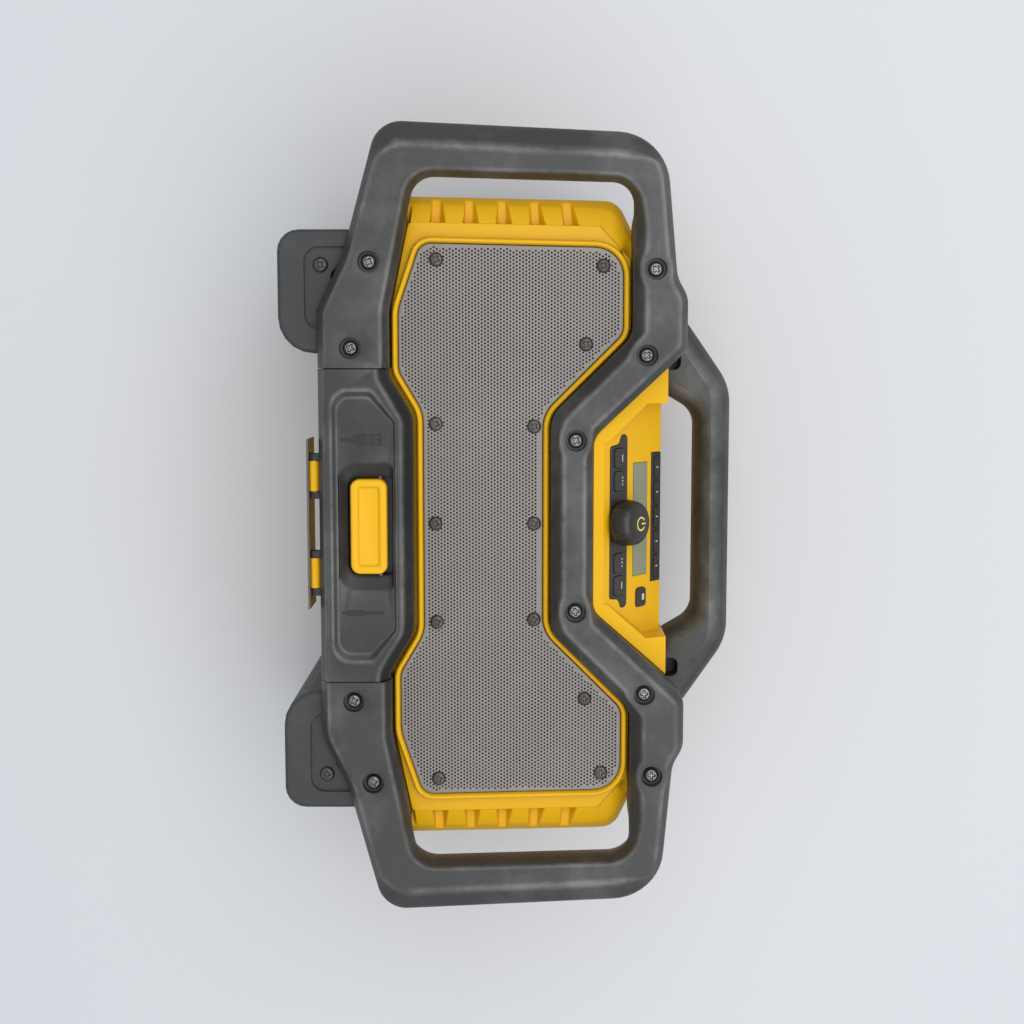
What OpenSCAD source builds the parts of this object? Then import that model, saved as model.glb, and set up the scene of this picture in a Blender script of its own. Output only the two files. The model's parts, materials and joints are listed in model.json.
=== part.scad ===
// Rugged bluetooth speaker: a yellow housing inside a black roll cage, standing on two skid feet.
// Millimetres, +Z up, the front faces -Y, origin on the floor at the middle of the footprint.

/* [Cage] */
// Overall width across the two side loops
cage_w = 445; // [436:1:464]
// Overall depth, from the front frame to the rear bumper
cage_depth = 200; // [190:1:230]
// Depth of the front frame
frame_depth = 30; // [26:1:34]
// Width of the bevel along the frame's edges
frame_bevel = 7; // [4:0.5:8]
// Width of a side loop's bar
loop_bar = 28.5; // [24:0.5:30]
// Height of the bar under the control panel
dip_bar = 23.5; // [20:0.5:25]
// Drop of the dip's top edge below the housing's flat top
dip_drop = 29; // [27:0.5:33]
// Half width of the level part of the dip
dip_half = 49; // [45:0.5:52]
// Height of the frame's top bar above the housing's flat top
frame_rise = 17; // [13:0.5:23]
// Height of the top bar
top_bar = 24.6; // [22:0.2:27]
// Height of the lower bar's underside above the floor
sill_z = 22.5; // [20:0.5:25]
// Height of the lower bar beside the door
sill_bar = 39.7; // [37:0.1:41]
// Width of the rear bumper's rim
bumper_w = 24; // [18:1:26]

/* [Handle] */
// Height of the handle's top above the housing's flat top
handle_rise = 57; // [51:1:70]
// Depth of the handle, front edge to rear edge
handle_depth = 40; // [34:1:46]
// Half length of the handle's level top
handle_half = 73; // [66:1:78]
// Height of the grip
grip_h = 22.5; // [20:0.5:25]

/* [Housing] */
// Room from the cage's outer side in to the housing's side
side_room = 36.5; // [34:0.5:40]
// Height of the housing's underside above the floor
housing_z = 30; // [28:0.5:32]
// Height of the housing's flat top above the floor
housing_top = 205; // [202:0.5:210]
// Wall thickness of the housings
wall = 4; // [3:0.25:5]
// Width of the rim round the grille
rim_w = 3.5; // [2.5:0.25:4.5]
// Number of grip notches in each flank
notches = 5; // [3:1:6]
// Distance between grip notches
notch_pitch = 18.7; // [14:0.1:19.5]

/* [Door] */
// Half width of the compartment door
door_half = 87.5; // [85:0.5:90]
// Half width of the latch
latch_half = 26.5; // [22:0.5:28]
// Height of the latch
latch_h = 20.3; // [17:0.1:22]
// Half width of the compartment behind the door
bay_half = 72; // [64:0.5:73]
// Depth of the compartment
bay_depth = 56; // [40:1:62]

/* [Controls] */
// Slope of the control panel, from level
panel_tilt = 39; // [36:0.5:42]
// Diameter of the volume knob
knob_d = 26.5; // [22:0.5:28]
// Height of the volume knob
knob_h = 12.2; // [10:0.2:15]
// Half width of the display
lcd_half = 33; // [28:0.5:35]
// How far a key travels
key_travel = 0.8; // [0.5:0.1:1.0]

/* [Speakers] */
// Radius of the opening for a woofer
woofer_r = 34; // [30:0.5:35]
// Distance of each woofer's axis in from the side of the grille's rim
woofer_inset = 51; // [49:0.5:53]
// Drop of the woofers' axes below the housing's flat top
woofer_drop = 75; // [72:0.5:78]

/* [Feet] */
// Width of each foot
foot_w = 68.5; // [60:0.5:72]
// Distance of the feet's outer edge in from the housing's side
foot_inset = 21.5; // [18:0.5:26]

/* [Hidden] */
$fn = 48;

// Colours
yellow = "#e9b02c";
black = "#3a3a38";
steel = "#b8bcc0";
grey = "#8b8782";
board_green = "#2f6b45";

// Clearances
gap = 0.3;
run_gap = 0.05;
seam = 0.5;
over = 1;

// Heights that follow the housing's top
frame_top = housing_top + frame_rise;
dip_z = housing_top - dip_drop;
handle_top = housing_top + handle_rise;
woofer_z = housing_top - woofer_drop;

// Planes from front to back
y_front = -cage_depth / 2;
y_rear = cage_depth / 2;
y_seat = y_front + frame_depth;
ledge_h = 7;
y_ledge = y_seat - ledge_h;
rim_h = 7;
y_rim = y_ledge - rim_h;
y_grille = y_rim + 2;
sheet = 1.2;
flank_run = 19;
y_flank = y_seat + flank_run;
y_wall = y_seat + wall;
baffle_t = 4;
y_split = cage_depth * 0.1;
bumper_depth = 36;
y_shoulder = y_rear - bumper_depth;
rear_inset = 16;
y_back = y_rear - rear_inset;

// Steps along each rounded corner
steps = 5;

function unit(v) = v / norm(v);
function xz(p) = [p[0], p[1]];

// Points of a corner at p between a and b: an arc of radius r, or a straight stretch of half length -r
function corner(a, p, b, r) =
    r > 0 ? arc(a, p, b, r) : [for (i = [0:steps]) p + unit(b - a) * -r * (2 * i / steps - 1)];
function arc(a, p, b, r) =
    let (
        u = unit(a - p),
        v = unit(b - p),
        h = acos(u * v) / 2,
        c = p + unit(u + v) * r / sin(h),
        from = p + u * r / tan(h) - c,
        to = p + v * r / tan(h) - c,
        turn = atan2(cross(from, to), from * to),
        start = atan2(from.y, from.x)
    )
    [for (i = [0:steps]) c + r * [cos(start + turn * i / steps), sin(start + turn * i / steps)]];

// An open path with its inner corners rounded, and a closed ring with every corner rounded
function round_path(p) = [for (i = [0:len(p) - 1])
    each (p[i][2] == 0 ? [xz(p[i])] : corner(xz(p[i - 1]), xz(p[i]), xz(p[i + 1]), p[i][2]))];
function round_ring(p) = let (n = len(p)) [for (i = [0:n - 1])
    each corner(xz(p[(i + n - 1) % n]), xz(p[i]), xz(p[(i + 1) % n]), p[i][2])];

// The half outline, followed by its mirror image taken backwards
function both(h) = concat(h, [for (i = [len(h) - 1:-1:0]) [-h[i][0], h[i][1], h[i][2]]]);

// A path or a ring moved to its left by d, which is inwards on an outline that runs anticlockwise
function mitre(a, b) = let (t = unit(a + b)) [-t.y, t.x] / (t * b);
function shift_path(p, d) = let (n = len(p)) [for (i = [0:n - 1])
    let (a = unit(p[max(i, 1)] - p[max(i, 1) - 1]), b = unit(p[min(i + 1, n - 1)] - p[min(i, n - 2)]))
    p[i] + mitre(a, b) * d];
function shift_ring(p, d) = let (n = len(p)) [for (i = [0:n - 1])
    p[i] + mitre(unit(p[i] - p[(i + n - 1) % n]), unit(p[(i + 1) % n] - p[i])) * d];
function at_y(p, y) = [for (q = p) [q.x, y, q.y]];

// Triangles between ring k and the next, for n points a ring and m rings in all
function band(k, n, m) = [for (i = [0:n - 1])
    let (j = (i + 1) % n, a = k * n, b = (k + 1) % m * n)
    each [[a + i, a + j, b + j], [a + i, b + j, b + i]]];

// Middle of a ring's end cap: the mean of its points, or a front-view point that sees the whole outline
function sum(v, i = 0) = i == len(v) - 1 ? v[i] : v[i] + sum(v, i + 1);
function middle(ring, at) = is_undef(at) ? sum(ring) / len(ring) : [at[0], ring[0].y, at[1]];

// A solid through outlines given from front to back, closed at both ends
module loft(rings, at = undef) {
    n = len(rings[0]);
    m = len(rings);
    first = [for (i = [0:n - 1]) [(i + 1) % n, i, m * n]];
    last = [for (i = [0:n - 1]) [(m - 1) * n + i, (m - 1) * n + (i + 1) % n, m * n + 1]];
    polyhedron(
        [for (r = rings) each r, middle(rings[0], at), middle(rings[m - 1], at)],
        concat([for (k = [0:m - 2]) each band(k, n, m)], first, last));
}

// A bar between an outer and an inner path, both running the same way with as many points.
// Each layer gives a depth, and how far the outer and the inner edge are drawn in there.
module bar(outer, inner, layers) {
    out = [for (l = layers) at_y(shift_path(outer, l[1]), l[0])];
    in = [for (l = layers) at_y(shift_path(inner, -l[2]), l[0])];
    m = len(layers);
    loft([for (i = [0:len(outer) - 1])
        concat([for (k = [m - 1:-1:0]) out[k][i]], [for (k = [0:m - 1]) in[k][i]])]);
}

// A solid whose outlines run back to the first one, like a tube bent into a ring
module ring_loft(rings) {
    n = len(rings[0]);
    m = len(rings);
    polyhedron([for (r = rings) each r], [for (k = [0:m - 1]) each band(k, n, m)]);
}

// Extrudes a front-view outline from y0 back to y1
module slab(y0, y1) translate([0, y1, 0]) rotate([90, 0, 0]) linear_extrude(y1 - y0) children();

// A cylinder along Y from y0 to y1, at x and z
module rod_y(x, z, r, y0, y1) translate([x, y1, z]) rotate([90, 0, 0]) cylinder(r = r, h = y1 - y0);
module rod_x(x0, x1, y, z, r) translate([x0, y, z]) rotate([0, 90, 0]) cylinder(r = r, h = x1 - x0);
module box(x0, x1, y0, y1, z0, z1) translate([x0, y0, z0]) cube([x1 - x0, y1 - y0, z1 - z0]);
module mirror_x() {
    children();
    mirror([1, 0, 0]) children();
}

// A rounded rectangle about the origin
module pad(w, h, r) {
    square([w - 2 * r, h], center = true);
    square([w, h - 2 * r], center = true);
    for (x = [-1, 1], y = [-1, 1]) translate([x * (w / 2 - r), y * (h / 2 - r)]) circle(r);
}

// Half widths, and the front frame's outline: outer edge from the door's right end round to its left end
half = cage_w / 2;
housing_half = half - side_room;
frame_end = door_half + seam;
sill_in = 102.5;
kick_in = 72.5;
sill_run = half - sill_in - frame_end;
sill_kick = [half - kick_in - frame_end, 14.5];
side_lean = 7;
foot_corner_z = sill_z + 34.5;
loop_tip = 0.6;
shoulder_in = dip_half + 49;
shoulder_out = shoulder_in + 29;
shoulder_rise = 6;
frame_outer = round_path(both([
    [frame_end, sill_z, 0],
    [frame_end + sill_run, sill_z, 25],
    [frame_end + sill_kick.x, sill_z + sill_kick.y, 30],
    [half + loop_tip, foot_corner_z, 17],
    [half - side_lean, frame_top - side_lean, 30],
    [shoulder_out + 11, frame_top, 20],
    [shoulder_out, frame_top + shoulder_rise, 15],
    [shoulder_in, frame_top + shoulder_rise, 12],
    [dip_half, dip_z, 12]]));

// Inner edge of the front frame: along the dip, round each side loop and back to the door
sill_top = sill_z + sill_bar;
loop_in = half - loop_bar;
top_in = frame_top - top_bar;
dip_low = dip_z - dip_bar;
loop_floor = sill_top + 15;
dip_low_half = dip_half + 12;
lobe_in = dip_low_half + top_in - dip_low;
loop_low = [loop_in + 0.5, loop_floor];
loop_high = [loop_in - 0.5, top_in];
lobe_top = [lobe_in, top_in + 0.5];
sill_end = [frame_end + sill_run, sill_top];
function stretch(a, b, t, f) = let (p = a + (b - a) * t) [p.x, p.y, -f * norm(b - a)];
frame_inner = round_path(both([
    [frame_end, sill_top, 0],
    [sill_end.x, sill_end.y, 30],
    stretch(sill_end, loop_low, 0.45, 0.18),
    [loop_low.x, loop_low.y, 13],
    [loop_high.x, loop_high.y, 12],
    stretch(loop_high, lobe_top, 0.48, 0.16),
    stretch(loop_high, lobe_top, 0.74, 0.057),
    [lobe_top.x, lobe_top.y, 14],
    [dip_low_half, dip_low, 16]]));

// Bevelled edge of the frame and of the door: depth behind the front and how far the edge is drawn in
bevel_layers = [
    [y_front, frame_bevel],
    [y_front + 1, frame_bevel * 0.82],
    [y_front + 7, frame_bevel * 0.14],
    [y_front + 9, 0]];

// Outline of the rim round the grille, and of the wider ledge that carries it up to the flanks.
// Both keep clear of the frame and of the door: side holds the lower and the upper corner of the side.
ledge_gap = 0.4;
rim_gap = 0.9;
lobe_low = sill_top + ledge_gap;
door_top = sill_top + 13.7;
door_peak_half = 62;
door_foot_half = frame_end - 3;
function grille_outline(clear, side) = round_ring(both([
    [door_peak_half, door_top + clear, 18],
    [door_foot_half, sill_top + clear, 16],
    [frame_end + sill_run + 1, sill_top + clear, 30],
    side[0],
    side[1],
    [lobe_in - 0.6, top_in - clear, 14],
    [dip_low_half - 0.4, dip_low - clear, 16]]));
rim_side = housing_half - 26;
woofer_x = rim_side - woofer_inset;
rim = grille_outline(rim_gap, [[rim_side + 1, lobe_low + 14.2, 12], [rim_side - 2, top_in - rim_gap, 20]]);
opening = shift_ring(rim, rim_w);
ledge_side = housing_half - 17.5;
ledge = grille_outline(ledge_gap, [[ledge_side, lobe_low + 10, 3], [ledge_side, top_in - ledge_gap, 10]]);

// Housing outline with the sides at a given half width
side_low = housing_z + 36;
side_high = housing_top - 15;
corner_in = housing_half - 46;
deck_half = housing_half - 35;
function housing_ring(side) = round_ring(both([
    [35, housing_z, -20],
    [82, housing_z, -18],
    [corner_in, housing_z, 25],
    [side, side_low, 14],
    [side, side_high, 12],
    [deck_half, housing_top, 10],
    [60, housing_top, -35]]));
seat_side = housing_half - 16.8;
flank_side = housing_half - 1.5;

// Grip notches: wedges cut into the sloped flank, steep below and eased above
notch_len = 15.8;
notch_w = 9.2;
notch_depth = 4;
notch_ease = 3.8;
notch_draft = 0.6;
notch_at = 0.39;
notch_mid = (side_low + side_high) / 2 - 1.6;

// Facet that takes off the ledge's upper corner, along a slanted ridge
ridge = [housing_half - 8, side_high - 20.7];
ridge_turn = 47;
ridge_len = 42;
facet = [14.5, 7.6];

// Edge of the dip, which the control panel follows
dip_edge = round_path([
    [shoulder_in, frame_top + shoulder_rise, 0],
    [dip_half, dip_z, 12],
    [-dip_half, dip_z, 12],
    [-shoulder_in, frame_top + shoulder_rise, 0]]);

// Compartment behind the door
bay_low = housing_z + wall + 0.6;
bay_high = sill_top - 3.8;
bay_wall = 2;
y_bay = y_seat + bay_depth;

// Door hinge
hinge_y = y_front + 14;
hinge_z = sill_z - 3;
hinge_pin_r = 1.5;
knuckle_r = 2.7;
knuckle = [19, 36];
lug_w = 4;
leaf_t = 1.2;
leaf_half = 48;
leaf_top = hinge_z - knuckle_r - 0.4;

// Screw places, front view, right half
frame_screw_at = [
    [shoulder_out + 15, frame_top - 12.5],
    [shoulder_in - 3, frame_top - 17],
    [dip_half - 1, dip_z - 10],
    [frame_end + sill_kick.x - 4, sill_z + 29.5],
    [frame_end + 11, sill_z + 19]];
grille_screw_at = [
    [rim_side - 15.5, top_in - 15.9],
    [lobe_in - 4.9, top_in - 25.4],
    [dip_half + 6, dip_low - 9.5],
    [rim_side - 12, lobe_low + 25.6],
    [door_peak_half - 5.5, door_top + 11.8]];
grille_mid_at = [[0, dip_low - 9.5], [0, door_top + 11.3]];
grille_screws_at = concat(grille_screw_at, [for (p = grille_screw_at) [-p.x, p.y]], grille_mid_at);
grille_head = [4, 1.8];
screw_recess_r = 5.75;
screw_recess = 5;
screw_head_r = 4.3;
screw_head = 3;
screw_r = 2;
bumper_screw_at = [
    [housing_half - 12, side_low + 30],
    [housing_half - 12, side_high - 32],
    [housing_half - 96, housing_top - 8.5],
    [housing_half - 96, housing_z + 10.5]];
foot_out = housing_half - foot_inset;
foot_screw = [foot_out - 19.5, 24];

// A pan-head screw along Y, its head's top at y and its shank running by dir
module pan_screw(x, y, z, head_r, head_h, shank_r, shank, dir) {
    translate([x, y, z]) rotate([dir > 0 ? -90 : 90, 0, 0]) rotate_extrude() polygon([
        [0, 0], [head_r * 0.6, 0], [head_r, head_h * 0.5], [head_r, head_h],
        [shank_r, head_h], [shank_r, head_h + shank], [0, head_h + shank]]);
}

module front_housing() color(yellow) {
    back = housing_ring(housing_half);
    flank = housing_ring(flank_side);
    seat = housing_ring(seat_side);
    slope = atan2(flank_side - seat_side, flank_run);
    difference() {
        union() {
            ring_loft([
                at_y(opening, y_wall),
                at_y(opening, y_rim + 1.3),
                at_y(shift_ring(rim, rim_w - 1), y_rim),
                at_y(shift_ring(rim, 1), y_rim),
                at_y(rim, y_rim + 1.3),
                at_y(rim, y_ledge),
                at_y(ledge, y_ledge),
                at_y(ledge, y_seat),
                at_y(seat, y_seat),
                at_y(flank, y_flank),
                at_y(back, y_split),
                at_y(shift_ring(back, wall), y_split),
                at_y(shift_ring(flank, wall), y_flank + 2),
                at_y(shift_ring(seat, wall), y_wall)]);
            hinge_brackets();
        }
        mirror_x() {
            for (i = [0:notches - 1])
                translate([
                    seat_side + notch_at * (flank_side - seat_side),
                    y_seat + notch_at * flank_run,
                    notch_mid + (i - (notches - 1) / 2) * notch_pitch])
                    rotate([0, 0, -slope]) rotate([90, 0, 0]) linear_extrude(notch_len, center = true)
                        polygon([
                            [-notch_depth, notch_draft - notch_w / 2],
                            [over, -notch_w / 2],
                            [over, notch_w / 2 + over],
                            [-notch_depth, notch_w / 2 - notch_ease]]);
            translate([ridge.x, y_ledge, ridge.y]) rotate([0, -ridge_turn, 0]) linear_extrude(ridge_len)
                polygon([[0, 0], [0, -over], [facet.x, -over], facet]);
        }
        slab(y_seat - over, handle_y0) polygon(dip_edge);
        box(-tail_half - gap, tail_half + gap, y_seat, y_panel_back + gap, dip_z, housing_top + over);
        box(-bay_half, bay_half, y_seat - over, y_wall + over, bay_low, bay_high);
        mirror_x() rod_x(knuckle[0] - over, knuckle[1] + over, hinge_y, hinge_z, hinge_pin_r + run_gap);
    }
}

// Yellow arms under the housing that hold the hinge pins
module hinge_brackets() {
    riser = 10;
    mirror_x() {
        rod_x(knuckle[0], knuckle[1], hinge_y, hinge_z, knuckle_r);
        box(knuckle[0], knuckle[1], hinge_y, y_seat + riser, leaf_top, hinge_z + knuckle_r - 0.2);
        box(knuckle[0], knuckle[1], y_seat + 0.5, y_seat + riser, leaf_top, housing_z + over);
    }
}

// Rear island: the back wall's outline inside the bumper
bumper_ring = round_ring(both([
    [corner_in, housing_z - 2, 32],
    [housing_half + 2, side_low, 32],
    [housing_half + 2, side_high, 32],
    [deck_half, housing_top + 4, 32]]));
bumper_in = shift_ring(bumper_ring, bumper_w);
island = shift_ring(bumper_ring, bumper_w + rim_gap);
back_ring = round_ring(both([
    [corner_in, housing_z, 30],
    [housing_half, side_low, 30],
    [housing_half, side_high, 30],
    [deck_half, housing_top, 30]]));

// Battery bay in the back wall
battery_half = 46;
battery_h = 80;
battery_mid = (housing_z + housing_top) / 2 - 7.5;
battery_z = [battery_mid - battery_h / 2, battery_mid + battery_h / 2];
y_battery = y_split + 8;
inlet_r = 6;
inlet_room = 7.1;
inlet_at = [battery_half + 54, housing_z - 2 + bumper_w + rim_gap + inlet_r + inlet_room];
battery_wall = 3;

// Vent slots in the back wall
vent_n = 5;
vent_pitch = 9;
vent = [50, 4];

module rear_housing() color(yellow) {
    difference() {
        loft([
            at_y(shift_ring(island, wall), y_back - wall),
            at_y(shift_ring(island, wall), y_shoulder - wall),
            at_y(shift_ring(back_ring, wall), y_shoulder - wall),
            at_y(shift_ring(back_ring, wall), y_split + gap),
            at_y(back_ring, y_split + gap),
            at_y(back_ring, y_shoulder),
            at_y(island, y_shoulder),
            at_y(island, y_back - 2),
            at_y(shift_ring(island, 2), y_back)]);
        box(-battery_half - gap, battery_half + gap, y_shoulder, y_back + over,
            battery_z[0] - gap, battery_z[1] + gap);
        rod_y(inlet_at.x, inlet_at.y, inlet_r + gap, y_shoulder, y_back + over);
        mirror_x() for (i = [0:vent_n - 1])
            translate([battery_half + 22, y_shoulder, battery_mid - 6 + i * vent_pitch])
                cube([vent[0], rear_inset + bumper_depth, vent[1]]);
    }
}

module grille() color(grey) {
    face = shift_ring(rim, rim_w + gap);
    difference() {
        union() {
            slab(y_grille, y_grille + sheet) polygon(face);
            slab(y_grille, y_wall) difference() {
                polygon(face);
                polygon(shift_ring(face, sheet));
            }
        }
        for (p = grille_screws_at) rod_y(p.x, p.y, 1.6, y_grille - over, y_grille + sheet + over);
    }
}

module speaker_baffle() color(black) {
    post_r = 3.2;
    difference() {
        union() {
            slab(y_wall, y_wall + baffle_t) polygon(shift_ring(rim, -2));
            for (p = grille_screws_at) rod_y(p.x, p.y, post_r, y_grille + sheet, y_wall + over);
        }
        mirror_x() rod_y(woofer_x, woofer_z, woofer_r, y_wall - over, y_wall + baffle_t + over);
        for (p = grille_screws_at) rod_y(p.x, p.y, 1.4, y_grille, y_wall + baffle_t + over);
    }
}

module front_frame() color(black) {
    boss_top = frame_top + shoulder_rise - 2;
    back_bevel = 1.6;
    difference() {
        union() {
            bar(frame_outer, frame_inner, [
                for (l = bevel_layers) [l[0], l[1], l[1]],
                [y_seat - back_bevel, 0, 0],
                [y_seat, back_bevel, back_bevel]]);
            mirror_x() box(shoulder_in + 6, shoulder_out - 4, y_seat - 4, handle_y0 - gap,
                housing_top + gap, boss_top);
        }
        for (p = frame_screw_at) mirror_x() {
            rod_y(p.x, p.y, screw_recess_r, y_front - over, y_front + screw_recess);
            rod_y(p.x, p.y, screw_r + 0.1, y_front, y_seat + over);
        }
    }
}

module rear_bumper() color(black) {
    bevel = 6;
    difference() {
        ring_loft([
            at_y(bumper_in, y_rear - bevel),
            at_y(bumper_in, y_shoulder),
            at_y(shift_ring(bumper_ring, 2), y_shoulder),
            at_y(bumper_ring, y_shoulder + 2),
            at_y(bumper_ring, y_rear - bevel),
            at_y(shift_ring(bumper_ring, bevel), y_rear),
            at_y(shift_ring(bumper_in, -bevel), y_rear)]);
        for (p = bumper_screw_at) mirror_x() {
            rod_y(p.x, p.y, screw_recess_r, y_rear - screw_recess, y_rear + over);
            rod_y(p.x, p.y, screw_r + 0.1, y_shoulder - over, y_rear);
        }
    }
}

// Handle: a grip with two slanted legs, its section a hexagon with a crisp front and rear edge
handle_y0 = y_front + 60;
handle_low = handle_top - grip_h;
leg_out = handle_half + 45;
leg_in = handle_half + 15;
leg_drop = 37;
elbow_in = [1, 18.5];
grip_in = 12;
leg_r = 18;
top_r = 22;
elbow_r = 20;
grip_r = 14;
handle_outer = round_path(both([
    [leg_out, housing_top + gap, 0],
    [leg_out, handle_top - leg_drop, leg_r],
    [handle_half, handle_top, top_r]]));
handle_inner = round_path(both([
    [leg_in, housing_top + gap, 0],
    [handle_half - elbow_in.x, handle_low - elbow_in.y, elbow_r],
    [handle_half - grip_in, handle_low, grip_r]]));

module carry_handle() color(black) {
    slope = 9;
    up = grip_h * 0.62;
    down = grip_h * 0.36;
    y1 = handle_y0 + handle_depth;
    bar(handle_outer, handle_inner, [
        [handle_y0, up, down],
        [handle_y0 + slope - 2, 2.4, 1.4],
        [handle_y0 + slope + 1, 0, 0],
        [y1 - slope - 1, 0, 0],
        [y1 - slope + 2, 2.4, 1.4],
        [y1, up, down]]);
}

// Feet: skids that follow the housing's underside, cut back under the frame and the bumper
foot_in = foot_out - foot_w;
foot_y = y_front + 15;
foot_rise = (side_low - housing_z) / (housing_half - corner_in);
foot_side_z = housing_z - gap + (foot_out - corner_in) * foot_rise;
foot_ring = round_ring([
    [foot_in, 0, 20],
    [foot_out, 0, 12],
    [foot_out, foot_side_z, 2],
    [corner_in, housing_z - gap, 4],
    [foot_in, housing_z - gap, 3]]);

// Sunk panel at each end of a foot, as deep as the head of the screw in it
foot_head = 2;
foot_hole = 30;
foot_panel_z = 15;
foot_panel_h = 60;

module foot() color(black) {
    bevel = 1.6;
    clear = 0.5;
    difference() {
        loft([
            at_y(shift_ring(foot_ring, bevel), foot_y),
            at_y(foot_ring, foot_y + bevel),
            at_y(foot_ring, -foot_y - bevel),
            at_y(shift_ring(foot_ring, bevel), -foot_y)], [foot_in + foot_w / 2, foot_screw.y / 2]);
        slab(y_front - over, y_seat + gap) polygon([
            [frame_end - 20, sill_z - clear],
            [frame_end + sill_run, sill_z - clear],
            [frame_end + sill_kick.x, sill_z + sill_kick.y - clear],
            [half, foot_corner_z - clear],
            [half, frame_top],
            [frame_end - 20, frame_top]]);
        slab(y_shoulder - gap, y_rear + over) polygon([
            [foot_in - 5, housing_z - 2 - clear],
            [corner_in, housing_z - 2 - clear],
            [housing_half + 2, side_low - clear],
            [housing_half + 2, frame_top],
            [foot_in - 5, frame_top]]);
        for (y = [foot_y, -foot_y]) {
            translate([(foot_in + foot_out) / 2 + 2, y, foot_panel_z + foot_panel_h / 2]) rotate([90, 0, 0])
                linear_extrude(2 * foot_head, center = true) pad(foot_w - 23, foot_panel_h, 8);
            rod_y(foot_screw.x, foot_screw.y, screw_r + 0.1, y - foot_hole, y + foot_hole);
        }
    }
}
module foot_left() mirror([1, 0, 0]) foot();
module foot_right() foot();

// Door: flush with the lower bar, with a sunk panel and a scooped pocket for the latch in its middle
door_gap = 0.6;
door_back = y_seat - 1.2;
swing_bevel = 3;
door_upper = round_path(both([
    [door_half, sill_top - door_gap, 0],
    [door_foot_half - 1, sill_top - door_gap, 8],
    [door_peak_half - 1, door_top - door_gap, 17]]));
door_lower = [[-door_half, sill_z], [door_half, sill_z]];
function door_ring(y, d) = at_y(concat(shift_path(door_upper, d), shift_path(door_lower, d)), y);
pocket_half = latch_half + 1;
latch_low = sill_z + 18.2;
latch_high = latch_low + latch_h;
pocket_low = latch_low - 1.8;
pocket_high = latch_high + 3.2;
pocket_r = 6;
pocket_y = y_front + 13;
scoop = [9, 4.9, 0.3];
scoop_y = y_front + 6;
latch_y = y_front + 7;
latch_z = latch_high - 4;
latch_pin_r = 1.25;
panel_sunk = 1.6;
door_rim = round_ring(both([
    [door_half - 11.5, sill_z + 8, 10],
    [door_half - 11.5, sill_z + 30.5, 5],
    [door_half - 28.5, sill_z + 43.7, 5]]));
door_panel = round_ring(both([
    [door_half - 15.5, sill_z + 10.8, 8],
    [door_half - 15.5, sill_z + 29, 4],
    [door_half - 30, sill_z + 42.2, 4]]));

// Outline of the latch pocket, wider by a share of the scoop
function pocket_ring(t) = round_ring([
    [-pocket_half - t * scoop[0], pocket_low - t * scoop[1], pocket_r + 2 * t],
    [pocket_half + t * scoop[0], pocket_low - t * scoop[1], pocket_r + 2 * t],
    [pocket_half + t * scoop[0], pocket_high + t * scoop[2], 3 + t],
    [-pocket_half - t * scoop[0], pocket_high + t * scoop[2], 3 + t]]);

module door() color(black) {
    shell = 3;
    difference() {
        union() {
            loft([
                for (l = bevel_layers) door_ring(l[0], l[1]),
                door_ring(hinge_y, 0),
                door_ring(door_back, swing_bevel)], [0, sill_z + sill_bar / 2]);
            mirror_x() for (x = [knuckle[0] - gap - lug_w, knuckle[1] + gap]) {
                rod_x(x, x + lug_w, hinge_y, hinge_z, knuckle_r);
                box(x, x + lug_w, hinge_y - knuckle_r, hinge_y + knuckle_r, hinge_z, sill_z + over);
            }
        }
        loft([
            at_y(pocket_ring(1.2), y_front - over),
            at_y(pocket_ring(1), y_front + panel_sunk),
            at_y(pocket_ring(0), scoop_y),
            at_y(pocket_ring(0), pocket_y)]);
        loft([
            at_y(door_rim, y_front - over),
            at_y(door_rim, y_front),
            at_y(door_panel, y_front + panel_sunk)]);
        box(-pocket_half, pocket_half, pocket_y + shell, y_seat, pocket_low, pocket_high - 6);
        mirror_x() box(pocket_half + scoop[0] + shell, door_half - 6, y_front + 6, y_seat, pocket_low,
            sill_top - frame_bevel - 4);
        rod_x(-pocket_half - 3, pocket_half + 3, latch_y, latch_z, latch_pin_r + run_gap);
        mirror_x() rod_x(knuckle[0] - 10, knuckle[1] + 10, hinge_y, hinge_z, hinge_pin_r + run_gap);
    }
}

module door_gasket() color("#2a2a2a") {
    w = 4;
    slab(y_seat - 0.9, y_seat) difference() {
        translate([0, (bay_low + bay_high) / 2])
            square([2 * (bay_half + w), bay_high - bay_low + 2 * w - 2],
            center = true);
        translate([0, (bay_low + bay_high) / 2]) square([2 * bay_half, bay_high - bay_low], center = true);
    }
}

module hinge_leaf() color(steel)
    box(-leaf_half, leaf_half, hinge_y - 2.4, y_seat + 8, leaf_top - leaf_t, leaf_top);

module hinge_pins() color(steel)
    mirror_x() rod_x(knuckle[0] - lug_w - gap, knuckle[1] + lug_w + gap, hinge_y, hinge_z, hinge_pin_r);

// Latch: a pull lever with a raised border, hinged on its pin near the top
module latch() color(yellow) {
    border = 4.5;
    y0 = y_front + 1;
    y1 = y_front + 9;
    mid = (latch_low + latch_high) / 2;
    spring_slot = 8;
    difference() {
        translate([0, y1, mid]) rotate([90, 0, 0]) linear_extrude(y1 - y0) pad(2 * latch_half, latch_h, 5);
        translate([0, y0 + 2, mid]) rotate([90, 0, 0]) linear_extrude(2 + over)
            pad(2 * (latch_half - border), latch_h - 2 * border, 2.5);
        box(-latch_half + 4, latch_half - 4, y0 + 4.6, y1 + over, latch_low + 3, latch_z - 4);
        rod_x(-latch_half - over, latch_half + over, latch_y, latch_z, latch_pin_r + run_gap);
        box(-spring_slot, spring_slot, latch_y - 3.2, y1 + over, latch_z - 4 - over, latch_high + over);
    }
}

module latch_pin() color(steel)
    rod_x(-pocket_half - 2.5, pocket_half + 2.5, latch_y, latch_z, latch_pin_r);

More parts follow.
